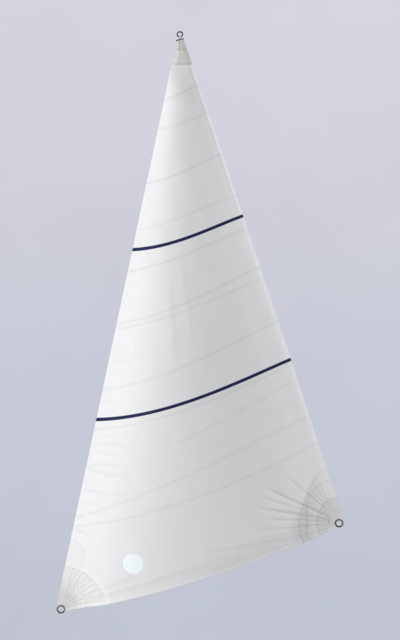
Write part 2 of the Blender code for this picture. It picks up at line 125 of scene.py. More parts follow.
# Height over the foot's line at share u of a row: its own height less sag x chord x 4u(1 - u), where a
# fourth number, the skew, moves the sag to one side as 1 + skew (2u - 1)
def rowHeight(row, u):
    v = mix(row[0], row[1], u)
    luff, leech = edgeReaches(v)
    skew = row[3] if len(row) > 3 else 0.0
    return v * sailHeight - row[2] * (leech - luff) * 4 * u * (1 - u) * (1 + skew * (2 * u - 1))


# Plane point at share u of the chord and height h over the foot: the edges at that height, mixed by u
def sailPlace(u, h):
    luff, leech = edgeReaches(h / sailHeight)
    return tack + np.multiply.outer(mix(luff, leech, u), footWay) + np.multiply.outer(h, upWay)


# Share of the chord, height over the foot and chord of plane points
def sailShares(points):
    offset = points - tack
    h = offset @ upWay
    luff, leech = edgeReaches(h / sailHeight)
    return (offset @ footWay - luff) / (leech - luff), h, leech - luff


# Folds and wrinkles as strokes: depth to leeward and the widths above and below in millimetres, then the
# line's points in X and Z. A group's fades are the shares of the line over which its strokes come in and go
# out, and its paintedShade darkens their bottoms as painted shade in the folds
folds = {
    "clew": {"kind": "soft", "fades": (0.40, 0.04), "paintedShade": 0.026, "strokes": [
        (1.8, 12, 22, [(0.949, -4.434), (1.240, -4.702), (1.430, -4.880)]),
        (4.0, 12, 26, [(0.700, -4.575), (0.900, -4.660), (1.198, -4.812), (1.480, -4.955)]),
        (2.0, 9, 16, [(0.730, -4.700), (1.000, -4.790), (1.250, -4.880)]),
        (5.0, 11, 24, [(0.640, -4.802), (0.860, -4.845), (1.172, -4.904), (1.470, -4.975)]),
        (4.2, 10, 20, [(0.720, -4.935), (1.000, -4.950), (1.200, -4.962), (1.480, -4.990)]),
        (3.2, 9, 20, [(0.560, -5.050), (0.860, -5.040), (1.153, -5.030), (1.480, -5.008)]),
        (2.0, 9, 18, [(0.560, -5.160), (0.863, -5.119), (1.153, -5.073), (1.460, -5.025)]),
        (3.0, 14, 30, [(-0.150, -5.300), (0.300, -5.240), (0.737, -5.180), (1.190, -5.115), (1.440, -5.045)]),
    ]},
    "tack": {"kind": "soft", "fades": (0.06, 0.40), "paintedShade": 0.024, "strokes": [
        (4.2, 14, 26, [(-1.060, -5.800), (-0.930, -5.705), (-0.787, -5.622), (-0.480, -5.500),
                       (-0.250, -5.430)]),
        (5.5, 14, 36, [(-1.040, -5.815), (-0.909, -5.765), (-0.739, -5.683), (-0.499, -5.601),
                       (-0.042, -5.451), (0.450, -5.330)]),
        (2.6, 10, 20, [(-1.075, -5.775), (-0.980, -5.690), (-0.850, -5.590)]),
        (2.0, 10, 18, [(-1.095, -5.760), (-1.020, -5.610), (-0.955, -5.500)]),
        (1.6, 9, 16, [(-1.110, -5.750), (-1.070, -5.600), (-1.040, -5.420)]),
    ]},
    "luff": {"kind": "soft", "fades": (0.03, 0.60), "paintedShade": 0.032, "strokes": [
        (2.8, 12, 24, [(-0.930, -4.437), (-0.800, -4.405), (-0.560, -4.373), (-0.430, -4.350)]),
        (3.2, 12, 26, [(-0.920, -4.455), (-0.679, -4.493), (-0.471, -4.468), (-0.360, -4.440)]),
        (2.0, 10, 20, [(-0.950, -4.586), (-0.870, -4.586), (-0.720, -4.587)]),
        (2.8, 11, 24, [(-0.950, -4.655), (-0.730, -4.686), (-0.523, -4.662), (-0.400, -4.640)]),
        (2.2, 11, 22, [(-0.970, -4.780), (-0.850, -4.788), (-0.690, -4.794)]),
        (1.8, 10, 20, [(-0.900, -4.885), (-0.832, -4.891), (-0.680, -4.899)]),
        (2.4, 12, 24, [(-1.020, -5.055), (-0.930, -5.085), (-0.790, -5.113)]),
        (2.4, 11, 22, [(-0.870, -4.214), (-0.646, -4.178), (-0.507, -4.204), (-0.400, -4.200)]),
        (2.0, 10, 20, [(-0.860, -4.275), (-0.612, -4.292), (-0.520, -4.285)]),
        (1.6, 10, 20, [(-0.840, -4.118), (-0.603, -4.097), (-0.480, -4.100)]),
        (1.6, 10, 22, [(-0.790, -3.800), (-0.640, -3.780), (-0.500, -3.777)]),
        (1.4, 10, 22, [(-0.700, -3.377), (-0.509, -3.366), (-0.400, -3.360)]),
        (1.6, 10, 22, [(-0.985, -4.930), (-0.870, -4.965), (-0.700, -4.985)]),
        (1.4, 10, 20, [(-0.780, -3.640), (-0.620, -3.625)]),
    ]},
    "body": {"kind": "soft", "fades": (0.3, 0.3), "paintedShade": 0.010, "strokes": [
        (1.6, 30, 40, [(-0.130, -2.200), (-0.117, -2.326), (-0.080, -2.900), (-0.046, -3.500)]),
        (1.4, 30, 40, [(0.000, -2.250), (0.060, -2.700), (0.152, -3.300)]),
        (1.6, 24, 30, [(-0.520, -3.000), (-0.480, -3.100), (-0.411, -3.360)]),
    ]},
}

# Packing creases from luff to leech, as rows: heights, sag, depth and the part of the chord that they cross
creaseRows = [
    (0.8834, 0.8927, -0.0250, 4.0, -0.05, 1.05),
    (0.7346, 0.7514, 0.0031, 4.2, -0.05, 1.05),
    (0.5792, 0.5971, 0.0021, 3.6, -0.05, 1.05),
    (0.4885, 0.5176, 0.0141, 3.4, -0.05, 1.05),
    (0.3735, 0.4067, 0.0160, 3.0, -0.05, 1.05),
    (0.2300, 0.2880, 0.0150, 2.0, 0.40, 1.05),
    (0.1560, 0.2137, 0.0030, 2.4, -0.05, 1.05),
]
creaseLine = {"above": 7, "below": 15, "steps": 14}  # its widths in millimetres, and the points along it


# A crease as a stroke: its row walked from one share of the chord to another
def creaseStroke(crease):
    *row, depth, start, end = crease
    u = np.linspace(start, end, creaseLine["steps"])
    return (depth, creaseLine["above"], creaseLine["below"], sailPlace(u, rowHeight(row, u)))


folds["packing"] = {"kind": "sharp", "fades": (0.03, 0.03), "paintedShade": 0.066,
                    "strokes": [creaseStroke(row) for row in creaseRows]}


# Strength of one stroke at plane points, 0 to 1: falls off with the distance d from its line as
# exp(-(d / width)^2) when soft and exp(-d / width) when sharp, and fades in and out at the line's ends
def strokeStrength(group, stroke, points):
    _, above, below, line = stroke
    line = np.array(line, float)
    reach = 4 * max(above, below) * mm
    strength = np.zeros(len(points))
    low, high = line.min(axis=0) - reach, line.max(axis=0) + reach
    near = np.all((points > low) & (points < high), axis=1)
    spots = points[near]
    steps = np.diff(line, axis=0)
    lengths = np.linalg.norm(steps, axis=1)
    starts = np.concatenate(([0.0], np.cumsum(lengths)))
    best = np.full(len(spots), np.inf)
    side = np.zeros(len(spots))
    along = np.zeros(len(spots))
    for start, step, length, travelled in zip(line[:-1], steps, lengths, starts):
        offset = spots - start
        t = np.clip(offset @ step / length ** 2, 0.0, 1.0)
        away = np.linalg.norm(offset - np.outer(t, step), axis=1)
        closer = away < best
        best = np.where(closer, away, best)
        side = np.where(closer, step[0] * offset[:, 1] - step[1] * offset[:, 0], side)
        along = np.where(closer, travelled + t * length, along)
    width = np.where(side > 0, above, below) * mm
    fall = np.exp(-best / width) if group["kind"] == "sharp" else np.exp(-((best / width) ** 2))
    coming, going = (share * starts[-1] for share in group["fades"])
    strength[near] = fall * ease(along / coming) * ease((starts[-1] - along) / going)
    return strength


# Flat patches round the rings: 0 on the flat, 1 where the full belly starts, multiplied over the rings
def ringEase(points, places):
    share = np.ones(len(points))
    for ring, (flat, reach) in places:
        share *= ease((np.linalg.norm(points - ring, axis=1) - flat) / (reach - flat))
    return share


# Leeward depth of the belly: camber x chord x u^entry (1 - u)^exit, scaled to 1 at its fullest, with the
# leech's twist growing as u^2 and the luff's sag fading as 1 - u
def bellyDepth(points):
    u, h, chord = sailShares(points)
    u = np.clip(u, 0.0, 1.0)
    v = h / sailHeight
    entry, leave = sailPlan["entryPower"], sailPlan["exitPower"]
    fullest = entry / (entry + leave)
    section = u ** entry * (1 - u) ** leave / (fullest ** entry * (1 - fullest) ** leave)
    upright = np.sin(math.pi * np.clip(v, 0.0, 1.0))
    y = np.interp(v, sailPlan["camberHeights"], sailPlan["camberDepths"]) * chord * section
    y += sailPlan["leechTwist"] * u ** 2 * upright + sailPlan["luffSag"] * (1 - u) * upright
    places = ((tack, sailPlan["tackFlat"]), (clew, sailPlan["clewFlat"]), (head, sailPlan["headFlat"]))
    return y * ringEase(points, places)


# Soft cockling of the cloth: three slow waves that cross each other
def cockle(points):
    x, z = points[:, 0], points[:, 1]
    return 0.35 * mm * (
        np.sin(21 * x + 9 * z + 1.1 * np.sin(3.1 * z))
        + np.sin(-13 * x + 24 * z + 1.4 * np.sin(4.3 * x))
        + 0.7 * np.sin(37 * x - 15 * z + 2.0 * np.sin(5.7 * z))
    )


# Middle of the cloth at plane points: belly, cockling and every stroke, with how much painted shade its folds
# get there
def clothSurface(points):
    places = ((tack, sailPlan["calm"]), (clew, sailPlan["calm"]), (head, sailPlan["calmHead"]))
    calm = ringEase(points, places)
    depth = cockle(points)
    creased = np.zeros(len(points))
    for group in folds.values():
        for stroke in group["strokes"]:
            strength = strokeStrength(group, stroke, points)
            depth += stroke[0] * mm * strength
            # painted shade: each fold's bottom is darkened in the cloth's colour
            creased += group["paintedShade"] * stroke[0] * strength ** 1.5
    return bellyDepth(points) + calm * depth, calm * creased


# Front and back of the layers: the panel is layer 0, and patches lie in front of it
def layerSpan(layer):
    back = cloth["thick"] / 2 - layer * clothLayer
    return back - cloth["thick"], back


# Rows above and below a panel: the foot's edge or a seam lowered by half its lap, and a seam raised by it
def panelEdges(index):
    halfLap = cloth["seamLap"] / 2 / sailHeight
    footEdge = -sailPlan["footMargin"] / sailHeight
    lines = [(footEdge, footEdge, sailPlan["footRound"], sailPlan["footSkew"])] + seamLines
    lines += [(sailPlan["headTop"], sailPlan["headTop"], 0.0)]
    low, high = lines[index], lines[index + 1]
    if index > 0:
        low = (low[0] - halfLap, low[1] - halfLap, low[2])
    if index < len(seamLines):
        high = (high[0] + halfLap, high[1] + halfLap, high[2])
    return low, high


# Distances in from the luff, the leech and the foot, as an array of three columns
def edgeDistances(points):
    u, h, chord = sailShares(points)
    foot = h - rowHeight(panelEdges(0)[0], np.clip(u, 0.0, 1.0))
    return np.stack((u * chord * luffLean, (1 - u) * chord * leechLean, foot), axis=1)


# Distance up from a panel's lower edge, and down from its upper edge
def panelHeights(index, points):
    u, h, _ = sailShares(points)
    low, high = panelEdges(index)
    return h - rowHeight(low, u), rowHeight(high, u) - h


# A panel's lower edge lies one layer in front of the panel below, and is back in line by its middle
def panelShift(index, points):
    if index == 0:
        return np.zeros(len(points))
    up, down = panelHeights(index, points)
    return -clothLayer * np.clip(1 - 2 * up / (up + down), 0.0, 1.0)


# Quads over rows by columns of points, facing windward when columns run along X and rows run up
def gridFaces(rows, columns, closed=False):
    i = np.arange(rows - 1)[:, None] * columns
    j = np.arange(columns if closed else columns - 1)[None, :]
    k = (j + 1) % columns
    return np.stack((i + j, i + k, i + columns + k, i + columns + j), axis=-1).reshape(-1, 4)


# Quads over a grid that closes on itself both ways
def loopFaces(rows, columns):
    return gridFaces(rows + 1, columns, closed=True) % (rows * columns)


# A mesh from points and arrays of faces, with no loop over its points
def buildMesh(name, points, faceArrays):
    mesh = bpy.data.meshes.new(name)
    corners = np.concatenate([faces.ravel() for faces in faceArrays])
    sizes = np.concatenate([np.full(len(faces), faces.shape[1]) for faces in faceArrays])
    mesh.vertices.add(len(points))
    mesh.vertices.foreach_set("co", np.asarray(points, np.float32).ravel())
    mesh.loops.add(len(corners))
    mesh.loops.foreach_set("vertex_index", corners.astype(np.int32))
    mesh.polygons.add(len(sizes))
    mesh.polygons.foreach_set("loop_start", np.concatenate(([0], np.cumsum(sizes)[:-1])).astype(np.int32))
    mesh.update(calc_edges=True)
    mesh.validate()
    return mesh


# Turns a closed mesh's faces to point outward
def flipOutward(mesh):
    bm = bmesh.new()
    bm.from_mesh(mesh)
    bmesh.ops.recalc_face_normals(bm, faces=bm.faces[:])
    bm.to_mesh(mesh)
    bm.free()


# An object from a finished mesh, shaded smooth but for edges sharper than the given angle
def addPiece(name, mesh, material, node, smoothAngle=40):
    mesh.shade_smooth()
    mesh.set_sharp_from_angle(angle=math.radians(smoothAngle))
    mesh.materials.append(material)
    piece = bpy.data.objects.new(name, mesh)
    scene.collection.objects.link(piece)
    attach(piece, "root")
    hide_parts(node)
    return piece


# A closed sheet: the surface moved to its front and to its back along Y, joined by a rim round every edge
def thickSheet(name, surface, faces, span, facts):
    count = len(surface)
    points = np.concatenate((surface + (0.0, span[0], 0.0), surface + (0.0, span[1], 0.0)))
    first, second = faces.ravel(), np.roll(faces, -1, axis=1).ravel()
    edge = ~np.isin(first * count + second, second * count + first)
    a, b = first[edge], second[edge]
    rim = np.stack((b, a, a + count, b + count), axis=1)
    mesh = buildMesh(name, points, [faces, faces[:, ::-1] + count, rim])
    for label, values in facts.items():
        attribute = mesh.attributes.new(label, "FLOAT_VECTOR" if values.ndim == 2 else "FLOAT", "POINT")
        field = "vector" if values.ndim == 2 else "value"
        attribute.data.foreach_set(field, np.concatenate((values, values)).astype(np.float32).ravel())
    return mesh


# One cloth of the sail: plane points lifted to its surface, moved by the shift and thickened as their layer.
# Its cut is the pattern's own coordinates
def makeCloth(node, points, faces, layer, cut, material, shift=0.0):
    depth, creased = clothSurface(points)
    surface = np.stack((points[:, 0], depth + shift, points[:, 1]), axis=1)
    facts = {"cut": np.stack(cut, axis=1), "edges": edgeDistances(points), "creased": creased}
    mesh = thickSheet(f"{node}_cloth", surface, faces, layerSpan(layer), facts)
    addPiece(f"{node}_cloth", mesh, material, node)


print("stage: materials")


# A shader socket that works as a number: each sign adds one Math node
class Wire:
    def __init__(self, tree, socket):
        self.tree = tree
        self.socket = socket

    def math(self, operation, *others):
        values = dict(enumerate((self, *others)))
        return addNode(self.tree, "ShaderNodeMath", {"operation": operation}, values)

    def __add__(self, other):
        return self.math("ADD", other)

    def __radd__(self, other):
        return self.math("ADD", other)

    def __sub__(self, other):
        return self.math("SUBTRACT", other)

    def __rsub__(self, other):
        return (self * -1.0).math("ADD", other)

    def __mul__(self, other):
        return self.math("MULTIPLY", other)

    def __rmul__(self, other):
        return self.math("MULTIPLY", other)

    def __truediv__(self, other):
        return self.math("DIVIDE", other)

    def smooth(self, low, high, toLow=0.0, toHigh=1.0):
        settings = {"interpolation_type": "SMOOTHSTEP"}
        values = {"Value": self, "From Min": low, "From Max": high, "To Min": toLow, "To Max": toHigh}
        return addNode(self.tree, "ShaderNodeMapRange", settings, values)


# Any node: its kind, its settings or a ramp's stops, set first, and the values or links of its sockets
def addNode(tree, kind, settings=None, values=None, output=0):
    node = tree.nodes.new(kind)
    for key, value in (settings or {}).items():
        if key == "stops":
            ramp = node.color_ramp
            while len(ramp.elements) < len(value):
                ramp.elements.new(0.5)
            for element, (place, colour) in zip(ramp.elements, value):
                element.position = place
                element.color = (*colour, 1.0)
        else:
            setattr(node, key, value)
    for key, value in (values or {}).items():
        if isinstance(value, Wire):
            tree.links.new(value.socket, node.inputs[key])
        else:
            node.inputs[key].default_value = value
    return Wire(tree, node.outputs[output])


def mixColour(tree, share, first, second):
    settings = {"data_type": "RGBA", "clamp_factor": True}
    values = {0: share, 6: first, 7: second}
    return addNode(tree, "ShaderNodeMix", settings, values, output=2)


# The strongest of several wires
def strongest(wires):
    best = wires[0]
    for wire in wires[1:]:
        best = best.math("MAXIMUM", wire)
    return best


# A new Principled material: its tree, its shader and the plain settings on the shader's own sockets
def newMaterial(name, sockets):
    material = bpy.data.materials.new(name)
    material.use_nodes = True
    tree = material.node_tree
    shader = tree.nodes["Principled BSDF"]
    for key, value in sockets.items():
        shader.inputs[key].default_value = value
    return material, tree, shader


def bumpInto(tree, shader, height, strength):
    bump = addNode(tree, "ShaderNodeBump", {}, {"Strength": strength, "Distance": 1.0, "Height": height})
    tree.links.new(bump.socket, shader.inputs["Normal"])


# Object coordinates
def objectWire(tree):
    return addNode(tree, "ShaderNodeTexCoord", output=3)


# A vector's three numbers
def splitWire(tree, vector):
    node = tree.nodes.new("ShaderNodeSeparateXYZ")
    tree.links.new(vector.socket, node.inputs[0])
    return [Wire(tree, out) for out in node.outputs]


# An attribute of the mesh: output 1 is a vector, output 2 a number
def attributeWire(tree, name, output):
    return addNode(tree, "ShaderNodeAttribute", {"attribute_name": name}, output=output)


# Zigzag thread: 1 where the height is within half a thread of centre + swing x triangle(along / pitch)
def zigzag(along, height, centre, swing, pitch, thread):
    wave = ((along / pitch).math("PINGPONG", 0.5) * 4.0 - 1.0) * swing
    away = (height - centre - wave).math("ABSOLUTE")
    return away.smooth(thread * 0.5, thread * 0.9, 1.0, 0.0)


# Band: 1 between low and high, with soft edges
def bandOf(value, low, high, soft):
    return value.smooth(low - soft, low + soft) * value.smooth(high - soft, high + soft, 1.0, 0.0)


# Plain weave: warp and weft threads crossing, height 0 to 1
def weave(along, up, pitch):
    turn = 2 * math.pi / pitch
    return (along * turn).math("SINE") * (up * turn).math("SINE") * 0.5 + 0.5


sailcloth = {
    "colour": (0.802, 0.799, 0.800, 1.0),
    "wornAndShaded": (0.705, 0.702, 0.703, 1.0),
    "thread": (0.400, 0.400, 0.385, 1.0),
    "fold": (0.300, 0.300, 0.300, 1.0),
    "roughness": 0.62,
    "zigPitch": 30 * mm,
    "zigSwing": 2.4 * mm,
    "threadWide": 2.0 * mm,
    "rowsUp": (1.6 * mm, 16.4 * mm),
    "weavePitch": 0.9 * mm,
    "cloudy": 0.14,  # this and the next four are how far each mark shows
    "crackled": 0.08,
    "lapped": 0.08,
    "edgeShadow": 0.12,
    "sewn": 0.36,
}

# The leech line's pocket, a dark line that is partly painted shade of its fold: how far in it lies, half its
# width without and with its soft sides, how far it shows, and the heights between which it comes in
leechLine = {"inside": 36 * mm, "core": 4 * mm, "wide": 17 * mm, "shows": 0.30, "heights": (-2.6, -1.0)}

# Tapes sewn round the sail's edges. Each has its width, the softness of its inner side, how far its colour
# shows and how far the line of stitches along it does
edgeTapes = {
    "colour": (0.900, 0.893, 0.880, 1.0),
    "line": (0.440, 0.438, 0.432, 1.0),
    "luff": (34 * mm, 2 * mm, 0.05, 0.10),
    "leech": (56 * mm, 20 * mm, 0.16, 0.10),
    "foot": (30 * mm, 3 * mm, 0.48, 0.14),
    "lineWide": 4 * mm,
    "footEdgeShade": (13 * mm, 0.16),  # painted shade along the foot's edge: width and how dark
    "shadedEdges": (60 * mm, 250 * mm, 0.55),  # painted shade by the leech and the foot: from, to and how dark
}


# The edge tapes over a cloth: a paler band inside each edge with a stitched line along its inner side, both
# weakened by the strength given, and painted shade along the foot's edge, weakened by it too. Gives the
# colour with them and their relief
def tapedEdges(tree, colour, strength=1.0):
    look = edgeTapes
    inward = splitWire(tree, attributeWire(tree, "edges", 1))
    tapes = []
    for edge, away in zip(("luff", "leech", "foot"), inward):
        wide, soft, shows, sewn = look[edge]
        tape = away.smooth(wide - soft, wide + soft, 1.0, 0.0)
        line = (away - wide).math("ABSOLUTE").smooth(look["lineWide"] * 0.3, look["lineWide"], 1.0, 0.0)
        colour = mixColour(tree, tape * (shows * strength), colour, look["colour"])
        colour = mixColour(tree, line * sewn, colour, look["line"])
        tapes.append(tape)
    # painted shade along the foot's edge
    wide, dark = look["footEdgeShade"]
    rim = inward[2].smooth(wide - 4 * mm, wide + 3 * mm, dark * strength, 0.0)
    return mixColour(tree, rim, colour, look["line"]), strongest(tapes)


def noiseWire(tree, place, scale, detail=5.0, roughness=0.6, distortion=0.0):
    values = {"Vector": place, "Scale": scale, "Detail": detail, "Roughness": roughness,
              "Distortion": distortion}
    return addNode(tree, "ShaderNodeTexNoise", {}, values)


def sailclothMaterial():
    look = sailcloth
    material, tree, shader = newMaterial("sailcloth", {"Roughness": look["roughness"], "Sheen Weight": 0.08})
    place = objectWire(tree)
    along, up, down = splitWire(tree, attributeWire(tree, "cut", 1))
    creased = attributeWire(tree, "creased", 2)
    lap = cloth["seamLap"]
    # two rows of zigzag in each lap, where a panel covers the one below and where it is covered
    swing, pitch, wide = look["zigSwing"], look["zigPitch"], look["threadWide"]
    rows = [zigzag(along, side, row, swing, pitch, wide) for side in (up, down) for row in look["rowsUp"]]
    stitches = strongest(rows)
    above, below = (height.smooth(lap - mm, lap + mm, 1.0, 0.0) for height in (up, down))
    lapBand = above.math("MAXIMUM", below)
    # painted shadow along each panel's lower edge, where it lies over the panel below
    edgeShadow = up.smooth(0.6 * mm, 2.6 * mm, 1.0, 0.0)
    # finish rubbed by packing: broad grey clouds and fine crackle
    clouds = noiseWire(tree, place, 1.6)
    crackle = noiseWire(tree, place, 26.0, 6.0, 0.65, 0.6)
    colour = mixColour(tree, clouds.smooth(0.35, 0.75) * look["cloudy"], look["colour"], look["wornAndShaded"])
    colour = mixColour(tree, crackle.smooth(0.48, 0.78) * look["crackled"], colour, look["wornAndShaded"])
    colour = mixColour(tree, lapBand * look["lapped"], colour, look["wornAndShaded"])
    _, leechIn, footIn = splitWire(tree, attributeWire(tree, "edges", 1))
    x, _, z = splitWire(tree, place)
    # painted shade darkens the leech, and the foot towards the clew
    near, far, grey = edgeTapes["shadedEdges"]
    paintedEdgeShade = footIn.smooth(near, far, grey, 0.0) * x.smooth(-0.1, 0.5)
    paintedEdgeShade = paintedEdgeShade.math("MAXIMUM", leechIn.smooth(near, far, grey, 0.0))
    colour = mixColour(tree, paintedEdgeShade, colour, look["wornAndShaded"])
    colour, tapes = tapedEdges(tree, colour)
    # the leech line's pocket, partly painted shade of its fold, shows most towards the head
    away = (leechIn - leechLine["inside"]).math("ABSOLUTE")
    pocketShade = away.smooth(leechLine["core"], leechLine["wide"], 1.0, 0.0)
    pocketShade = pocketShade * z.smooth(*leechLine["heights"], 0.0, leechLine["shows"])
    colour = mixColour(tree, pocketShade, colour, look["thread"])
    # painted shade in the bottoms of the folds
    colour = mixColour(tree, creased, colour, look["fold"])
    colour = mixColour(tree, edgeShadow * look["edgeShadow"], colour, look["thread"])
    colour = mixColour(tree, stitches * look["sewn"], colour, look["thread"])
    tree.links.new(colour.socket, shader.inputs["Base Color"])
    rough = crackle * 0.14 + (look["roughness"] - 0.07)
    tree.links.new(rough.socket, shader.inputs["Roughness"])
    height = crackle * (0.9 * mm) + weave(along, up, look["weavePitch"]) * (0.03 * mm)
    height = height + lapBand.math("MAXIMUM", tapes) * (0.5 * mm) + stitches * (0.35 * mm)
    bumpInto(tree, shader, height, 0.8)
    return material


patchCloth = {
    "thread": (0.300, 0.300, 0.290, 1.0),
    "fold": (0.300, 0.300, 0.300, 1.0),
    "threadWide": 2.2 * mm,
    "zigSwing": 3.0 * mm,
    "zigPitch": 26 * mm,
    "weavePitch": 0.9 * mm,
    "rimRow": 7 * mm,
    "wander": 42 * mm,  # how widely the fan of seams wanders about its rays
    "spread": (0.06, 0.24),  # the seams run together at the ring, and come in over these distances from it
    "shade": 0.86,  # its darker tone, as a share of its colour
    "crackled": 0.25,
    "edgeShadow": 0.35,
}


# Cloth of a corner patch. Its cut is the angle from the edge above, the distance from the ring and the
# distance to the patch's rim
def patchMaterial(name, look, k):
    colour = look["colours"][k]
    material, tree, shader = newMaterial(name, {"Roughness": 0.66, "Sheen Weight": 0.08})
    place = objectWire(tree)
    turn, reach, inside = splitWire(tree, attributeWire(tree, "cut", 1))
    creased = attributeWire(tree, "creased", 2)
    swing, pitch, wide = (patchCloth[key] for key in ("zigSwing", "zigPitch", "threadWide"))
    wander = (noiseWire(tree, place, 6.0, 3.0) - 0.5) * patchCloth["wander"]
    # rim stitches, rubbed away here and there
    rubbed = noiseWire(tree, place, 24.0, 2.0).smooth(0.42, 0.60, 0.25, 1.0)
    rows = [zigzag(turn * reach, inside, patchCloth["rimRow"], swing, pitch, wide) * rubbed]
    rows += [zigzag(turn * reach, reach, arc, swing, pitch, wide) for arc in look["arcs"][k]]
    ridges = []
    spread = reach.smooth(*patchCloth["spread"], 0.25, 1.0)
    for degrees in look["radials"][k]:
        side = (turn - math.radians(degrees)) * reach + wander
        sewn = zigzag(reach, side, 0.0, swing * 0.6, pitch * 0.8, wide) * 0.8
        rows.append(sewn * spread)
        ridges.append(side.math("ABSOLUTE").smooth(2 * mm, 8 * mm, 1.0, 0.0) * spread)
    stitches = strongest(rows)
    crackle = noiseWire(tree, place, 30.0, 6.0, 0.65, 0.6)
    shade = tuple(patchCloth["shade"] * part for part in colour[:3]) + (1.0,)
    tone = mixColour(tree, crackle.smooth(0.40, 0.75) * patchCloth["crackled"], colour, shade)
    # painted shadow along the patch's rim, rubbed here and there
    edgeShadow = inside.smooth(0.5 * mm, 3 * mm, 1.0, 0.0) * rubbed
    tone = mixColour(tree, edgeShadow * patchCloth["edgeShadow"], tone, patchCloth["thread"])
    if ridges:
        seams = strongest(ridges)
        tone = mixColour(tree, seams * look["seams"], tone, shade)
    tone, tapes = tapedEdges(tree, tone, look["tapes"])
    # painted shade in the bottoms of the folds
    tone = mixColour(tree, creased, tone, patchCloth["fold"])
    tone = mixColour(tree, stitches * look["sewn"], tone, patchCloth["thread"])
    tree.links.new(tone.socket, shader.inputs["Base Color"])
    height = crackle * (0.9 * mm) + weave(turn * reach, reach, patchCloth["weavePitch"]) * (0.03 * mm)
    height = height + stitches * (0.4 * mm) + tapes * (0.5 * mm)
    if ridges:
        height = height + seams * (0.5 * mm)
    bumpInto(tree, shader, height, 0.8)
    return material


stripeTape = {
    "colour": (0.018, 0.022, 0.076, 1.0),
    "edge": (0.030, 0.036, 0.112, 1.0),
    "thread": (0.045, 0.055, 0.160, 1.0),
    "stitch": (4 * mm, 1.6 * mm, 12 * mm, 1.2 * mm),  # how far in, swing, pitch and thread
    "weavePitch": 0.8 * mm,
}


# Stuck and sewn tape. Its cut is along, across from its lower edge and across from its upper edge
def stripeMaterial():
    look = stripeTape
    material, tree, shader = newMaterial("navyTape", {"Roughness": 0.6, "Specular IOR Level": 0.08})
    along, up, down = splitWire(tree, attributeWire(tree, "cut", 1))
    rim = up.math("MINIMUM", down)
    stitches = zigzag(along, rim, *look["stitch"])
    fray = noiseWire(tree, objectWire(tree), 60.0, 4.0)
    colour = mixColour(tree, fray.smooth(0.45, 0.8) * 0.35, look["colour"], look["edge"])
    colour = mixColour(tree, stitches * 0.5, colour, look["thread"])
    tree.links.new(colour.socket, shader.inputs["Base Color"])
    tree.links.new((fray * 0.2 + 0.5).socket, shader.inputs["Roughness"])
    height = weave(along, up, look["weavePitch"]) * (0.05 * mm) + stitches * (0.3 * mm)
    bumpInto(tree, shader, height, 0.8)
    return material


roundPatch = {
    "colour": (0.900, 0.960, 0.965, 1.0),
    "rim": (0.790, 0.900, 0.940, 1.0),
    "thread": (0.700, 0.780, 0.820, 1.0),
    "stitch": (6 * mm, 1.8 * mm, 10 * mm, 1.2 * mm),
}


# Plain round patch. Its cut is angle, distance from its middle and distance to its rim
def roundPatchMaterial():
    look = roundPatch
    material, tree, shader = newMaterial("roundPatchCloth", {"Roughness": 0.45})
    turn, reach, inside = splitWire(tree, attributeWire(tree, "cut", 1))
    stitches = zigzag(turn * reach, inside, *look["stitch"])
    speckle = noiseWire(tree, objectWire(tree), 45.0, 4.0)
    colour = mixColour(tree, inside.smooth(4 * mm, 14 * mm, 1.0, 0.0) * 0.6, look["colour"], look["rim"])
    colour = mixColour(tree, speckle.smooth(0.45, 0.8) * 0.2, colour, look["rim"])
    colour = mixColour(tree, stitches * 0.4, colour, look["thread"])
    tree.links.new(colour.socket, shader.inputs["Base Color"])
    tree.links.new((speckle * 0.2 + 0.35).socket, shader.inputs["Roughness"])
    bumpInto(tree, shader, speckle * (0.2 * mm) + stitches * (0.3 * mm), 0.7)
    return material


webbing = {
    "colour": (0.620, 0.625, 0.600, 1.0),
    "groove": (0.380, 0.380, 0.370, 1.0),
    "bandColour": (0.085, 0.085, 0.100, 1.0),
    "bandLight": (0.260, 0.260, 0.280, 1.0),
    "ribPitch": 1.6 * mm,
    "chevronPitch": 4 * mm,
}


# Woven strap: ribs in chevrons, up the strap, or across the sail where crossed
def webbingMaterial(name, colour, groove, crossed):
    material, tree, shader = newMaterial(name, {"Roughness": 0.8, "Sheen Weight": 0.2})
    x, _, z = splitWire(tree, objectWire(tree))
    first, second = (x, z) if crossed else (z, x)
    chevron = (second / webbing["chevronPitch"]).math("PINGPONG", 0.5) * 2.0
    rib = ((first / webbing["ribPitch"] + chevron) * (2 * math.pi)).math("SINE") * 0.5 + 0.5
    dirt = noiseWire(tree, objectWire(tree), 90.0, 4.0)
    tone = mixColour(tree, rib * 0.6, colour, groove)
    tone = mixColour(tree, dirt.smooth(0.4, 0.8) * 0.3, tone, groove)
    tree.links.new(tone.socket, shader.inputs["Base Color"])
    bumpInto(tree, shader, rib * (0.25 * mm), 0.8)
    return material


# Each ring's metal and its stains, and for all of them the bush, whose pale colour is partly a painted
# reflection, the turned groove, darkened as painted shade, and the fine lines' pitch
ringMetal = {
    "clew": ((0.195, 0.201, 0.221, 1.0), (0.065, 0.068, 0.075, 1.0)),
    "tack": ((0.290, 0.295, 0.320, 1.0), (0.100, 0.102, 0.112, 1.0)),
    "head": ((0.200, 0.205, 0.245, 1.0), (0.080, 0.082, 0.100, 1.0)),
    "bushAndGleam": (0.760, 0.765, 0.780, 1.0),
    "bushRadius": 27 * mm,
    "groove": (30 * mm, 32 * mm),
    "turning": 0.7 * mm,
}
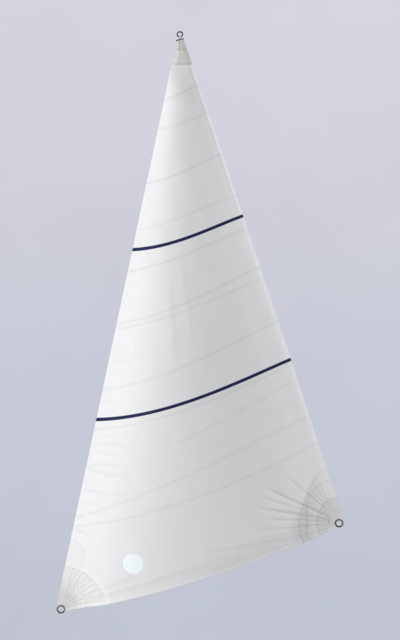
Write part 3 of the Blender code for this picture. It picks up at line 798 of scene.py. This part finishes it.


# Brushed metal, turned about each ring's own axis: fine circular lines, dull patches and painted shade in the
# turned groove. The corner rings have a pale bush inside, whose colour partly paints in a bright reflection
def ringMaterial(corner, centre):
    colour, dark = ringMetal[corner]
    material, tree, shader = newMaterial(f"{corner}RingMetal", {"Metallic": 1.0, "Roughness": 0.34})
    place = objectWire(tree)
    x, _, z = splitWire(tree, place)
    across, rise = x - float(centre[0]), z - float(centre[1])
    radius = (across * across + rise * rise).math("SQRT")
    lines = (radius * (2 * math.pi / ringMetal["turning"])).math("SINE")
    stain = noiseWire(tree, place, 70.0, 5.0)
    groove = bandOf(radius, *ringMetal["groove"], 0.8 * mm)
    tone = mixColour(tree, stain.smooth(0.42, 0.72) * 0.55, colour, dark)
    # painted shade in the turned groove
    tone = mixColour(tree, groove * 0.7, tone, dark)
    # the pale bush: a lining, and partly a painted reflection of the bright collar
    if corner != "head":
        edge = ringMetal["bushRadius"]
        bushAndGleam = radius.smooth(edge - 0.5 * mm, edge + 0.5 * mm, 1.0, 0.0)
        tone = mixColour(tree, bushAndGleam, tone, ringMetal["bushAndGleam"])
        tree.links.new((1.0 - bushAndGleam).socket, shader.inputs["Metallic"])
    tree.links.new(tone.socket, shader.inputs["Base Color"])
    tree.links.new((stain * 0.3 + 0.2).socket, shader.inputs["Roughness"])
    bumpInto(tree, shader, lines * (0.012 * mm) + stain * (0.12 * mm), 0.6)
    return material


sailMaterial = sailclothMaterial()

print("stage: panels")

# Each corner's ring, and the directions along its steep edge and along the foot
lowerCorners = {"clew": (clew, leechWay, -footWay), "tack": (tack, luffWay, footWay)}


# A panel's plane grid: u across and w up, at height mix(lower edge, upper edge, w)
def panelGrid(index):
    low, high = panelEdges(index)
    tall = float(rowHeight(high, 0.5) - rowHeight(low, 0.5))
    luff, leech = edgeReaches(low[0])
    columns = int(round((leech - luff) / cloth["cell"])) + 1
    rows = int(round(tall / cloth["cell"])) + 1
    u = np.linspace(0.0, 1.0, columns)[None, :]
    w = np.linspace(0.0, 1.0, rows)[:, None]
    h = mix(rowHeight(low, u), rowHeight(high, u), w)
    return sailPlace(np.broadcast_to(u, h.shape), h).reshape(-1, 2), gridFaces(rows, columns)


# Angle from one direction to another, positive when it turns from X towards Z
def turnBetween(first, last):
    return math.atan2(first[0] * last[1] - first[1] * last[0], first @ last)


# Directions in which a lower corner is trimmed, from square off its steep edge round to past its foot
def cornerWays(corner):
    lean = sailPlan["cornerLean"] * footWay
    first, last = {"tack": (luffOut, -upWay - lean), "clew": (leechOut, -upWay + lean)}[corner]
    angles = math.atan2(first[1], first[0]) + turnBetween(first, last) * np.linspace(0.0, 1.0, 12)
    return np.stack((np.cos(angles), np.sin(angles)), axis=1)


# Trims the lowest panel's grid to round corners about its rings, and opens it where the rings go through
def trimLowest(points, faces):
    mesh = buildMesh("trim", np.insert(points, 1, 0.0, axis=1), [faces])
    bm = bmesh.new()
    bm.from_mesh(mesh)
    bpy.data.meshes.remove(mesh)
    for corner, centre in (("tack", tack), ("clew", clew)):
        for way in cornerWays(corner):
            spot = centre + way * sailPlan["cornerRadius"]
            everything = bm.verts[:] + bm.edges[:] + bm.faces[:]
            bmesh.ops.bisect_plane(bm, geom=everything, dist=1e-6, plane_co=(spot[0], 0, spot[1]),
                                   plane_no=(way[0], 0, way[1]), clear_outer=True)
    bmesh.ops.triangulate(bm, faces=bm.faces[:])
    trimmed = bpy.data.meshes.new("trimmed")
    bm.to_mesh(trimmed)
    bm.free()
    flat = np.zeros(len(trimmed.vertices) * 3, np.float32)
    trimmed.vertices.foreach_get("co", flat)
    triangles = np.zeros(len(trimmed.loops), np.int32)
    trimmed.loops.foreach_get("vertex_index", triangles)
    bpy.data.meshes.remove(trimmed)
    points = flat.reshape(-1, 3)[:, [0, 2]].astype(float)
    triangles = triangles.reshape(-1, 3).astype(np.int64)
    near, circle = sailPlan["opening"]
    for ring in (tack, clew):
        # faces under the flange go, and the edge that is left is drawn to a circle
        middle = points[triangles].mean(axis=1)
        gone = np.linalg.norm(middle - ring, axis=1) < near
        used = np.unique(triangles[gone])
        triangles = triangles[~gone]
        edge = np.intersect1d(used, np.unique(triangles))
        offset = points[edge] - ring
        points[edge] = ring + offset / np.linalg.norm(offset, axis=1)[:, None] * circle
    kept, renamed = np.unique(triangles, return_inverse=True)
    return points[kept], renamed.reshape(-1, 3)


# A panel. Its cut is the distance from the luff and the distances from its lower and its upper edge, and the
# sail's foot and top, which aren't lapped, count as one lap away
def makePanel(index):
    points, faces = panelGrid(index)
    if index == 0:
        points, faces = trimLowest(points, faces)
    u, _, chord = sailShares(points)
    up, down = panelHeights(index, points)
    if index == 0:
        up = up + cloth["seamLap"]
    if index == len(seamLines):
        down = down + cloth["seamLap"]
    cut = (u * chord, up, down)
    shift = panelShift(index, points)
    makeCloth(f"panel_{index + 1}", points, faces, 0, cut, sailMaterial, shift)


for index in range(len(seamLines) + 1):
    makePanel(index)

print("stage: corner patches")

# Corner patches, three layers each. rims are their outlines: degrees from the edge above, and reach from
# the ring. radials are the degrees of their seams, arcs the distances of their inner rows of stitches, and
# sewn, seams and tapes how far stitches, seams and edge tapes show
cornerPatches = {
    "clew": {
        "rims": (
            ((0, 0.560), (8, 0.519), (17, 0.475), (29, 0.431), (44, 0.394), (57, 0.386), (90, 0.389)),
            ((0, 0.445), (18, 0.420), (27, 0.412), (36, 0.383), (50, 0.338), (65, 0.314), (75, 0.311),
             (90, 0.325)),
            ((0, 0.262), (20, 0.245), (40, 0.225), (60, 0.218), (90, 0.216)),
        ),
        "colours": ((0.742, 0.737, 0.730, 1.0), (0.728, 0.723, 0.714, 1.0), (0.622, 0.618, 0.610, 1.0)),
        "radials": (
            (14, 31, 47, 61, 74),
            (8, 14, 20, 26, 32, 38, 45, 52, 60, 68, 75),
            (10, 21, 32, 43, 54, 64, 72, 79),
        ),
        "arcs": ((), (), (0.14,)),
        "sewn": 0.50,
        "seams": 0.50,
        "tapes": 0.35,
    },
    "tack": {
        "rims": (
            ((-20, 0.720), (0, 0.700), (5.5, 0.662), (9.7, 0.622), (12.7, 0.575), (13.2, 0.500), (14, 0.445),
             (90, 0.445)),
            ((0, 0.430), (90, 0.430)),
            ((0, 0.255), (90, 0.255)),
        ),
        "colours": ((0.778, 0.774, 0.770, 1.0), (0.722, 0.717, 0.710, 1.0), (0.745, 0.740, 0.731, 1.0)),
        "radials": ((), (4, 10, 17, 24, 31, 38, 46, 54), (6, 14, 22, 31, 40, 50, 61)),
        "arcs": ((), (), (0.15,)),
        "sewn": 0.50,
        "seams": 0.40,
        "tapes": 1.0,
    },
}
patchGrid = {"cell": 7 * mm, "rays": 240, "fineRays": 1440, "opening": 31 * mm}


# Distance from a ring at each angle until the sail's edge, found along rays from its centre
def edgeReach(centre, ways, far):
    steps = np.linspace(0.03, far, 900)
    spots = centre + steps[None, :, None] * ways[:, None, :]
    flat = spots.reshape(-1, 2)
    u, h, _ = sailShares(flat)
    low, _ = panelEdges(0)
    outside = (u < 0) | (u > 1) | (h < rowHeight(low, np.clip(u, 0.0, 1.0)))
    outside = outside.reshape(spots.shape[:2])
    first = np.where(outside.any(axis=1), outside.argmax(axis=1), len(steps) - 1)
    return steps[first]


# How far a patch reaches at each angle: to its rim's outline, the sail's edge or the corner's trims, as
# trim distance / cos(angle between), whichever is nearest
def patchReach(corner, centre, ways, degrees, rim):
    places, reaches = np.array(rim, float).T
    arc = np.interp(degrees, places, reaches)
    reach = np.minimum(arc, edgeReach(centre, ways, reaches.max() + 0.05))
    facing = ways @ cornerWays(corner).T
    trims = np.where(facing > 0.05, sailPlan["cornerRadius"] / np.maximum(facing, 0.05), np.inf)
    return np.minimum(reach, trims.min(axis=1))


# A patch's outline at angles from the edge above towards the foot: directions from the ring, and reaches
def patchOutline(corner, rim, turned):
    centre, steep, along = lowerCorners[corner]
    angle = math.atan2(steep[1], steep[0]) + turned * np.sign(turnBetween(steep, along))
    ways = np.stack((np.cos(angle), np.sin(angle)), axis=1)
    return ways, patchReach(corner, centre, ways, np.degrees(turned), rim)


# A patch as a ring of rays: radius mix(opening, reach at that angle, w) at every angle, with the ends of the
# rays equally far apart along the patch's outline
def makeCornerPatch(corner, k):
    look = cornerPatches[corner]
    centre, steep, along = lowerCorners[corner]
    turn = turnBetween(steep, along)
    rim = look["rims"][k]
    fine = np.linspace(-math.pi, math.pi, patchGrid["fineRays"] + 1) + abs(turn) / 2
    ways, reach = patchOutline(corner, rim, fine)
    steps = np.linalg.norm(np.diff(reach[:, None] * ways, axis=0), axis=1)
    travelled = np.concatenate(([0.0], np.cumsum(steps)))
    ends = np.linspace(0.0, travelled[-1], patchGrid["rays"], endpoint=False)
    turned = np.interp(ends, travelled, fine)
    ways, reach = patchOutline(corner, rim, turned)
    rows = int(max(size for _, size in rim) / patchGrid["cell"]) + 1
    w = np.linspace(0.0, 1.0, rows)[:, None]
    radius = mix(patchGrid["opening"], reach[None, :], w)
    points = (centre + radius[..., None] * ways[None, :, :]).reshape(-1, 2)
    cut = (np.broadcast_to(turned, radius.shape).ravel(), radius.ravel(), (reach[None, :] - radius).ravel())
    faces = gridFaces(rows, patchGrid["rays"], closed=True)
    if turn > 0:
        faces = faces[:, ::-1]
    material = patchMaterial(f"{corner}PatchCloth{k + 1}", look, k)
    makeCloth(f"{corner}_patch_{k + 1}", points, faces, k + 1, cut, material)


for corner in lowerCorners:
    for k in range(3):
        makeCornerPatch(corner, k)

print("stage: head patches, stripes and round patch")

# Strips of cloth right across the sail. Each lies between a low and a high row, drawn apart by half its own
# width, on a panel by its index
headRow = (sailPlan["headTop"], sailPlan["headTop"], 0.0)
lowerRow = (0.3231, 0.3274, 0.0264)
upperRow = (0.6177, 0.6222, 0.0156)
headStrip = {"high": headRow, "half": 0.0, "panel": 5, "cell": 4 * mm}
tapeStrip = {"half": 16 * mm, "layer": 1, "cell": 8 * mm}
strips = {
    "head_patch_1": {**headStrip, "low": (0.9475, 0.9350, 0.010), "layer": 1},
    "head_patch_2": {**headStrip, "low": (0.9745, 0.9670, 0.0), "layer": 2},
    "stripe_lower": {**tapeStrip, "low": lowerRow, "high": lowerRow, "panel": 2},
    "stripe_upper": {**tapeStrip, "low": upperRow, "high": upperRow, "panel": 3},
}


# A strip of cloth between two rows: u across and w up, at height mix(lower row, upper row, w)
def makeStrip(name, material):
    look = strips[name]
    luff, leech = edgeReaches(look["low"][0])
    u = np.linspace(0.0, 1.0, int((leech - luff) / look["cell"]) + 2)[None, :]
    low, high = rowHeight(look["low"], u) - look["half"], rowHeight(look["high"], u) + look["half"]
    rows = max(5, int(float((high - low).max()) / look["cell"]) + 1)
    w = np.linspace(0.0, 1.0, rows)[:, None]
    h = mix(low, high, w)
    points = sailPlace(np.broadcast_to(u, h.shape), h).reshape(-1, 2)
    share, _, chord = sailShares(points)
    cut = (share * chord, (h - low).ravel(), (high - h).ravel())
    faces = gridFaces(rows, u.shape[1])
    makeCloth(name, points, faces, look["layer"], cut, material, panelShift(look["panel"], points))


headPatch = {
    "colour": (0.640, 0.645, 0.600, 1.0),
    "shade": (0.520, 0.525, 0.490, 1.0),
    "luffTape": (0.790, 0.800, 0.800, 1.0),
    "thread": (0.270, 0.270, 0.260, 1.0),
    "rows": (0.170, 0.148, 0.124),  # how far below the ring's centre the cross rows of stitches lie
    "edgeStitch": (7 * mm, 3.5 * mm, 14 * mm, 2 * mm),  # how far in, swing, pitch and thread
    "rowStitch": (0.0, 2.5 * mm, 12 * mm, 2 * mm),
    "crossStitch": (30 * mm, 17 * mm, 54 * mm, 2.6 * mm),
    "luffTapeIn": (34 * mm, 62 * mm),  # where the luff's tape ends, softly
    "sewn": 0.40,
    "edgeShades": (0.09, 0.0),  # how dark each layer's lower edge is
}


# Head cloth: zigzag rows across it, a darker lower edge as painted shade, criss-cross stitching towards the
# leech and painted shade by the leech
def headMaterial(name, edgeShade):
    look = headPatch
    material, tree, shader = newMaterial(name, {"Roughness": 0.7})
    place = objectWire(tree)
    x, _, z = splitWire(tree, place)
    along, up, down = splitWire(tree, attributeWire(tree, "cut", 1))
    luffIn, leechIn, _ = splitWire(tree, attributeWire(tree, "edges", 1))
    rows = [zigzag(x, z + drop, *look["rowStitch"]) for drop in look["rows"]]
    stitches = strongest([zigzag(along, up, *look["edgeStitch"]), *rows])
    halfPitch = look["crossStitch"][2] / 2
    crossed = strongest([zigzag(z + move, leechIn, *look["crossStitch"]) for move in (0.0, halfPitch)])
    crackle = noiseWire(tree, place, 34.0, 6.0, 0.65)
    colour = mixColour(tree, crackle.smooth(0.35, 0.7) * 0.4, look["colour"], look["shade"])
    colour = mixColour(tree, up.smooth(0.0, 16 * mm, 1.0, 0.0) * edgeShade, colour, look["thread"])
    tapes = luffIn.smooth(*look["luffTapeIn"], 1.0, 0.0)
    colour = mixColour(tree, tapes * 0.85, colour, look["luffTape"])
    # painted shade of the leech's tabling, darker towards the leech
    colour = mixColour(tree, leechIn.smooth(8 * mm, 60 * mm, 0.22, 0.0), colour, look["thread"])
    colour = mixColour(tree, stitches * look["sewn"], colour, look["thread"])
    colour = mixColour(tree, crossed * look["sewn"], colour, look["thread"])
    tree.links.new(colour.socket, shader.inputs["Base Color"])
    height = crackle * (0.8 * mm) + stitches * (0.5 * mm) + tapes * (0.4 * mm)
    bumpInto(tree, shader, height + weave(along, up, 0.9 * mm) * (0.03 * mm), 0.8)
    return material


navyTape = stripeMaterial()
for k, edgeShade in enumerate(headPatch["edgeShades"]):
    makeStrip(f"head_patch_{k + 1}", headMaterial(f"headPatchCloth{k + 1}", edgeShade))
for name in ("stripe_lower", "stripe_upper"):
    makeStrip(name, navyTape)

# Where the round patch lies: share of the foot from the clew, and height over the foot
disc = {"radius": 0.102, "along": 0.717, "up": 0.261, "middle": 2 * mm, "rays": 96, "rings": 15}


# The round patch: the same radii at every angle, and a small middle that is closed by a fan of triangles
def makeDisc():
    centre = tack + (clew - tack) * (1 - disc["along"]) + upWay * disc["up"]
    angles = np.linspace(0.0, 2 * math.pi, disc["rays"], endpoint=False)[None, :]
    radius = np.linspace(disc["middle"], disc["radius"], disc["rings"])[:, None]
    x, z = centre[0] + radius * np.cos(angles), centre[1] + radius * np.sin(angles)
    points = np.concatenate((np.stack((x, z), axis=-1).reshape(-1, 2), centre[None, :]))
    reach = np.append(np.broadcast_to(radius, x.shape).ravel(), 0.0)
    turned = np.append(np.broadcast_to(angles, x.shape).ravel(), 0.0)
    cut = (turned, reach, disc["radius"] - reach)
    quads = gridFaces(disc["rings"], disc["rays"], closed=True)[:, ::-1]
    j = np.arange(disc["rays"])
    middle = np.stack((np.full(disc["rays"], len(points) - 1), j, (j + 1) % disc["rays"]), axis=1)
    faces = np.concatenate((quads[:, [0, 1, 2]], quads[:, [0, 2, 3]], middle))
    makeCloth("round_patch", points, faces, 1, cut, roundPatchMaterial())


makeDisc()

print("stage: rings, strap and band")

# Corner rings: a barrel through the cloth with a flange on each side, and a groove turned in the front one
rings = {
    "hole": 22 * mm,
    "barrel": 30 * mm,
    "flange": 41 * mm,
    "lip": 1.6 * mm,
    "face": 3.0 * mm,
    "back": 2.2 * mm,
    "groove": (1.2 * mm, 0.9 * mm),  # half its width, and its depth
    "sides": 96,
}


# Rounds a closed profile: every corner becomes an arc of chords between its two neighbours
def roundProfile(corners, steps=4):
    rounded = []
    count = len(corners)
    for k, (r, y, size) in enumerate(corners):
        here = np.array([r, y])
        if size == 0:
            rounded.append(here)
            continue
        before = np.array(corners[k - 1][:2]) - here
        after = np.array(corners[(k + 1) % count][:2]) - here
        first = here + before / np.linalg.norm(before) * size
        last = here + after / np.linalg.norm(after) * size
        for t in np.linspace(0.0, 1.0, steps + 1):
            rounded.append((1 - t) ** 2 * first + 2 * t * (1 - t) * here + t ** 2 * last)
    return np.array(rounded)


# A turned ring: the profile of radius and Y carried round the axis through its centre
def turnedRing(name, node, centre, corners, material):
    profile = roundProfile(corners)
    angles = np.linspace(0.0, 2 * math.pi, rings["sides"], endpoint=False)[None, :]
    r, y = profile[:, 0][:, None], profile[:, 1][:, None]
    x = centre[0] + r * np.cos(angles)
    z = centre[1] + r * np.sin(angles)
    points = np.stack((x, np.broadcast_to(y, x.shape), z), axis=-1).reshape(-1, 3)
    mesh = buildMesh(name, points, [loopFaces(len(profile), rings["sides"])])
    return addPiece(name, mesh, material, node, smoothAngle=50)


def cornerRing(corner, centre):
    near = layerSpan(3)[0] - cloth["gap"]
    far = cloth["thick"] / 2 + cloth["gap"]
    face, back = near - rings["face"], far + rings["back"]
    lip = rings["lip"]
    half, deep = rings["groove"]
    corners = [
        (rings["hole"], face, lip * 0.9),
        (rings["barrel"] - half, face, 0.5 * mm),
        (rings["barrel"], face + deep, 0.4 * mm),
        (rings["barrel"] + half, face, 0.5 * mm),
        (rings["flange"], face, lip),
        (rings["flange"], near, 0.3 * mm),
        (rings["barrel"], near, 0.0),
        (rings["barrel"], far, 0.0),
        (rings["flange"], far, 0.3 * mm),
        (rings["flange"], back, lip * 0.8),
        (rings["hole"], back, lip * 0.9),
    ]
    return turnedRing(f"{corner}_ring_metal", f"{corner}_ring", centre, corners, ringMaterial(corner, centre))


headRing = {"inner": 20 * mm, "outer": 34 * mm, "half": 4 * mm, "round": 2.6 * mm}


def makeHeadRing():
    inner, outer, half, soft = (headRing[key] for key in ("inner", "outer", "half", "round"))
    corners = [(inner, -half, soft), (outer, -half, soft), (outer, half, soft), (inner, half, soft)]
    return turnedRing("head_ring_metal", "head_ring", head, corners, ringMaterial("head", head))


metalRings = [cornerRing("tack", tack), cornerRing("clew", clew), makeHeadRing()]

strap = {
    "width": 20 * mm,
    "thick": 1.5 * mm,
    "end": -0.170,
    "top": -15.4 * mm,
    "round": 0.5 * mm,
    "clear": 0.45 * mm,  # room between it and the ring's sides
    "bend": 1.4 * mm,
    "drawnIn": (3 * mm, 12 * mm),  # below the ring it leaves the ring's width, and there it is on the cloth
    "knee": 4 * mm,
}


# The strap: a path in Y and Z through the ring and down both faces, carried across X with rounded
# selvedges. Its outer side is the path moved out by the thickness along the path's own normals
def makeStrap():
    front = layerSpan(2)[0] - cloth["gap"]
    back = cloth["thick"] / 2 + cloth["gap"]
    side = headRing["half"] + strap["clear"]
    under = strap["top"] - strap["thick"]
    bend, knee = strap["bend"], strap["knee"]
    leaves, lands = (-(headRing["outer"] + drop) for drop in strap["drawnIn"])
    corners = [
        (back, strap["end"], 0.0),
        (back, lands, knee),
        (side, leaves, knee),
        (side, under, bend),
        (front, under, bend),
        (front, strap["end"], 0.0),
    ]
    path = roundProfile(corners, 6)
    step = np.gradient(path, axis=0)
    normal = np.stack((step[:, 1], -step[:, 0]), axis=1)
    normal /= np.linalg.norm(normal, axis=1)[:, None]
    half, thick, soft = strap["width"] / 2, strap["thick"], strap["round"]
    square = [(-half, 0.0, soft), (half, 0.0, soft), (half, thick, soft), (-half, thick, soft)]
    outline = roundProfile(square, 2)
    around = len(outline)
    rows = path[:, None, :] + normal[:, None, :] * outline[None, :, 1, None]
    x = np.broadcast_to(outline[None, :, 0], rows.shape[:2])
    points = np.stack((x, rows[..., 0], rows[..., 1]), axis=-1).reshape(-1, 3)
    faces = gridFaces(len(path), around, closed=True)
    ends = [np.arange(around)[None, ::-1], (np.arange(around) + (len(path) - 1) * around)[None, :]]
    mesh = buildMesh("head_strap_webbing", points, [faces, *ends])
    flipOutward(mesh)
    material = webbingMaterial("greyWebbing", webbing["colour"], webbing["groove"], False)
    return addPiece("head_strap_webbing", mesh, material, "head_strap")


makeStrap()

band = {
    "height": 15 * mm,
    "drop": 5 * mm,
    "thick": 1.5 * mm,
    "corner": 1.2 * mm,
    "rims": (0.4 * mm, 0.6 * mm),  # its rims' roundness inside and outside
}


# The band: a flat loop round the head, an oval with square ends whose wall runs up along the sail
def makeBand():
    near = layerSpan(2)[0] - 2 * cloth["gap"] - strap["thick"]
    far = cloth["thick"] / 2 + 2 * cloth["gap"] + strap["thick"]
    lowest = sailPlan["headTop"] * sailHeight - band["drop"] - band["height"] / 2
    ends = sailPlace(np.array([0.0, 1.0]), np.array([lowest, lowest]))
    half = np.linalg.norm(ends[1] - ends[0]) / 2 + cloth["gap"]
    middle = ends.mean(axis=0) + upWay * band["height"] / 2
    soft = band["corner"]
    corners = [(-half, near, soft), (half, near, soft), (half, far, soft), (-half, far, soft)]
    inner = roundProfile(corners, 5)
    centre = inner.mean(axis=0)
    step = np.roll(inner, -1, axis=0) - np.roll(inner, 1, axis=0)
    normal = np.stack((step[:, 1], -step[:, 0]), axis=1)
    normal /= np.linalg.norm(normal, axis=1)[:, None]
    if np.sum((inner - centre) * normal) < 0:
        normal = -normal
    wall, rise = band["thick"], band["height"] / 2
    inside, outside = band["rims"]
    square = [(0.0, -rise, inside), (wall, -rise, outside), (wall, rise, outside), (0.0, rise, inside)]
    section = roundProfile(square, 3)
    place = inner[None, :, :] + normal[None, :, :] * section[:, 0][:, None, None]
    risen = np.multiply.outer(section[:, 1], upWay)[:, None, :]
    spot = middle + np.multiply.outer(place[..., 0], footWay) + risen
    points = np.stack((spot[..., 0], place[..., 1], spot[..., 1]), axis=-1)
    mesh = buildMesh("head_band_tape", points.reshape(-1, 3), [loopFaces(*points.shape[:2])])
    flipOutward(mesh)
    material = webbingMaterial("darkBandTape", webbing["bandColour"], webbing["bandLight"], True)
    return addPiece("head_band_tape", mesh, material, "head_band")


makeBand()

print("stage: camera, light and floor")

view = {"place": (0.202, -30.0, -10.448), "pitch": 14.0, "lens": 176.5, "sensor": 36.0}
cameraData = bpy.data.cameras.new("view")
cameraData.lens = view["lens"]
cameraData.sensor_width = view["sensor"]
cameraData.clip_end = 400.0
camera = bpy.data.objects.new("view", cameraData)
camera.location = view["place"]
camera.rotation_euler = (math.radians(90 + view["pitch"]), 0.0, 0.0)
scene.collection.objects.link(camera)
scene.camera = camera

floorLook = {"height": -13.0, "radius": 260.0, "colour": (0.62, 0.63, 0.66, 1.0)}


# The floor: one wide face with its corners on a circle
def makeFloor():
    angles = np.linspace(0.0, 2 * math.pi, 96, endpoint=False)
    ring = np.stack((np.cos(angles), np.sin(angles)), axis=1) * floorLook["radius"]
    points = np.column_stack((ring, np.full(len(ring), floorLook["height"])))
    mesh = buildMesh("floor", points, [np.arange(len(ring))[None, :]])
    material, tree, shader = newMaterial("paleFloor", {"Base Color": floorLook["colour"], "Roughness": 0.9})
    mesh.materials.append(material)
    floor = bpy.data.objects.new("floor", mesh)
    scene.collection.objects.link(floor)


makeFloor()

# Lamps are suns: compass angle from the camera's side towards the leech, height, softness, strength
lamps = {
    "key": (48.0, 12.0, 30.0, 2.87),
    "fill": (-70.0, 48.0, 30.0, 0.60),
}
roomLight = 0.22  # the backdrop's light on the sail, as a share of its brightness to the camera
for name, (compass, rise, soft, strength) in lamps.items():
    data = bpy.data.lights.new(name, "SUN")
    data.energy = strength
    data.angle = math.radians(soft)
    lamp = bpy.data.objects.new(name, data)
    lamp.rotation_euler = (math.radians(90 - rise), 0.0, math.radians(compass))
    scene.collection.objects.link(lamp)

# The backdrop by height of the line of sight, in linear colour
backdrop = [
    (0.00, (0.500, 0.512, 0.560)),
    (0.42, (0.500, 0.520, 0.605)),
    (0.58, (0.520, 0.545, 0.635)),
    (0.61, (0.560, 0.578, 0.665)),
    (0.64, (0.610, 0.617, 0.700)),
    (0.67, (0.655, 0.655, 0.730)),
    (1.00, (0.700, 0.700, 0.760)),
]


# The world: the backdrop with soft mottling for the camera, and dimmer for everything that it lights
def makeWorld():
    world = bpy.data.worlds.new("studio")
    scene.world = world
    world.use_nodes = True
    tree = world.node_tree
    tree.nodes.clear()
    look = addNode(tree, "ShaderNodeTexCoord", output=0)
    _, _, z = splitWire(tree, look)
    mist = noiseWire(tree, look, 9.0, 2.0, 0.4)
    mottle = noiseWire(tree, look, 28.0, 2.0, 0.5)
    height = z * 0.5 + 0.5 + (mist - 0.5) * 0.008
    sky = addNode(tree, "ShaderNodeValToRGB", {"stops": backdrop}, {"Fac": height})
    seen = addNode(tree, "ShaderNodeLightPath")
    shown = 1.02 + (mottle - 0.5) * 0.10
    strength = roomLight + seen * (shown - roomLight)
    glow = addNode(tree, "ShaderNodeBackground", {}, {"Color": sky, "Strength": strength})
    out = tree.nodes.new("ShaderNodeOutputWorld")
    tree.links.new(glow.socket, out.inputs["Surface"])


makeWorld()
scene.view_settings.view_transform = "Standard"
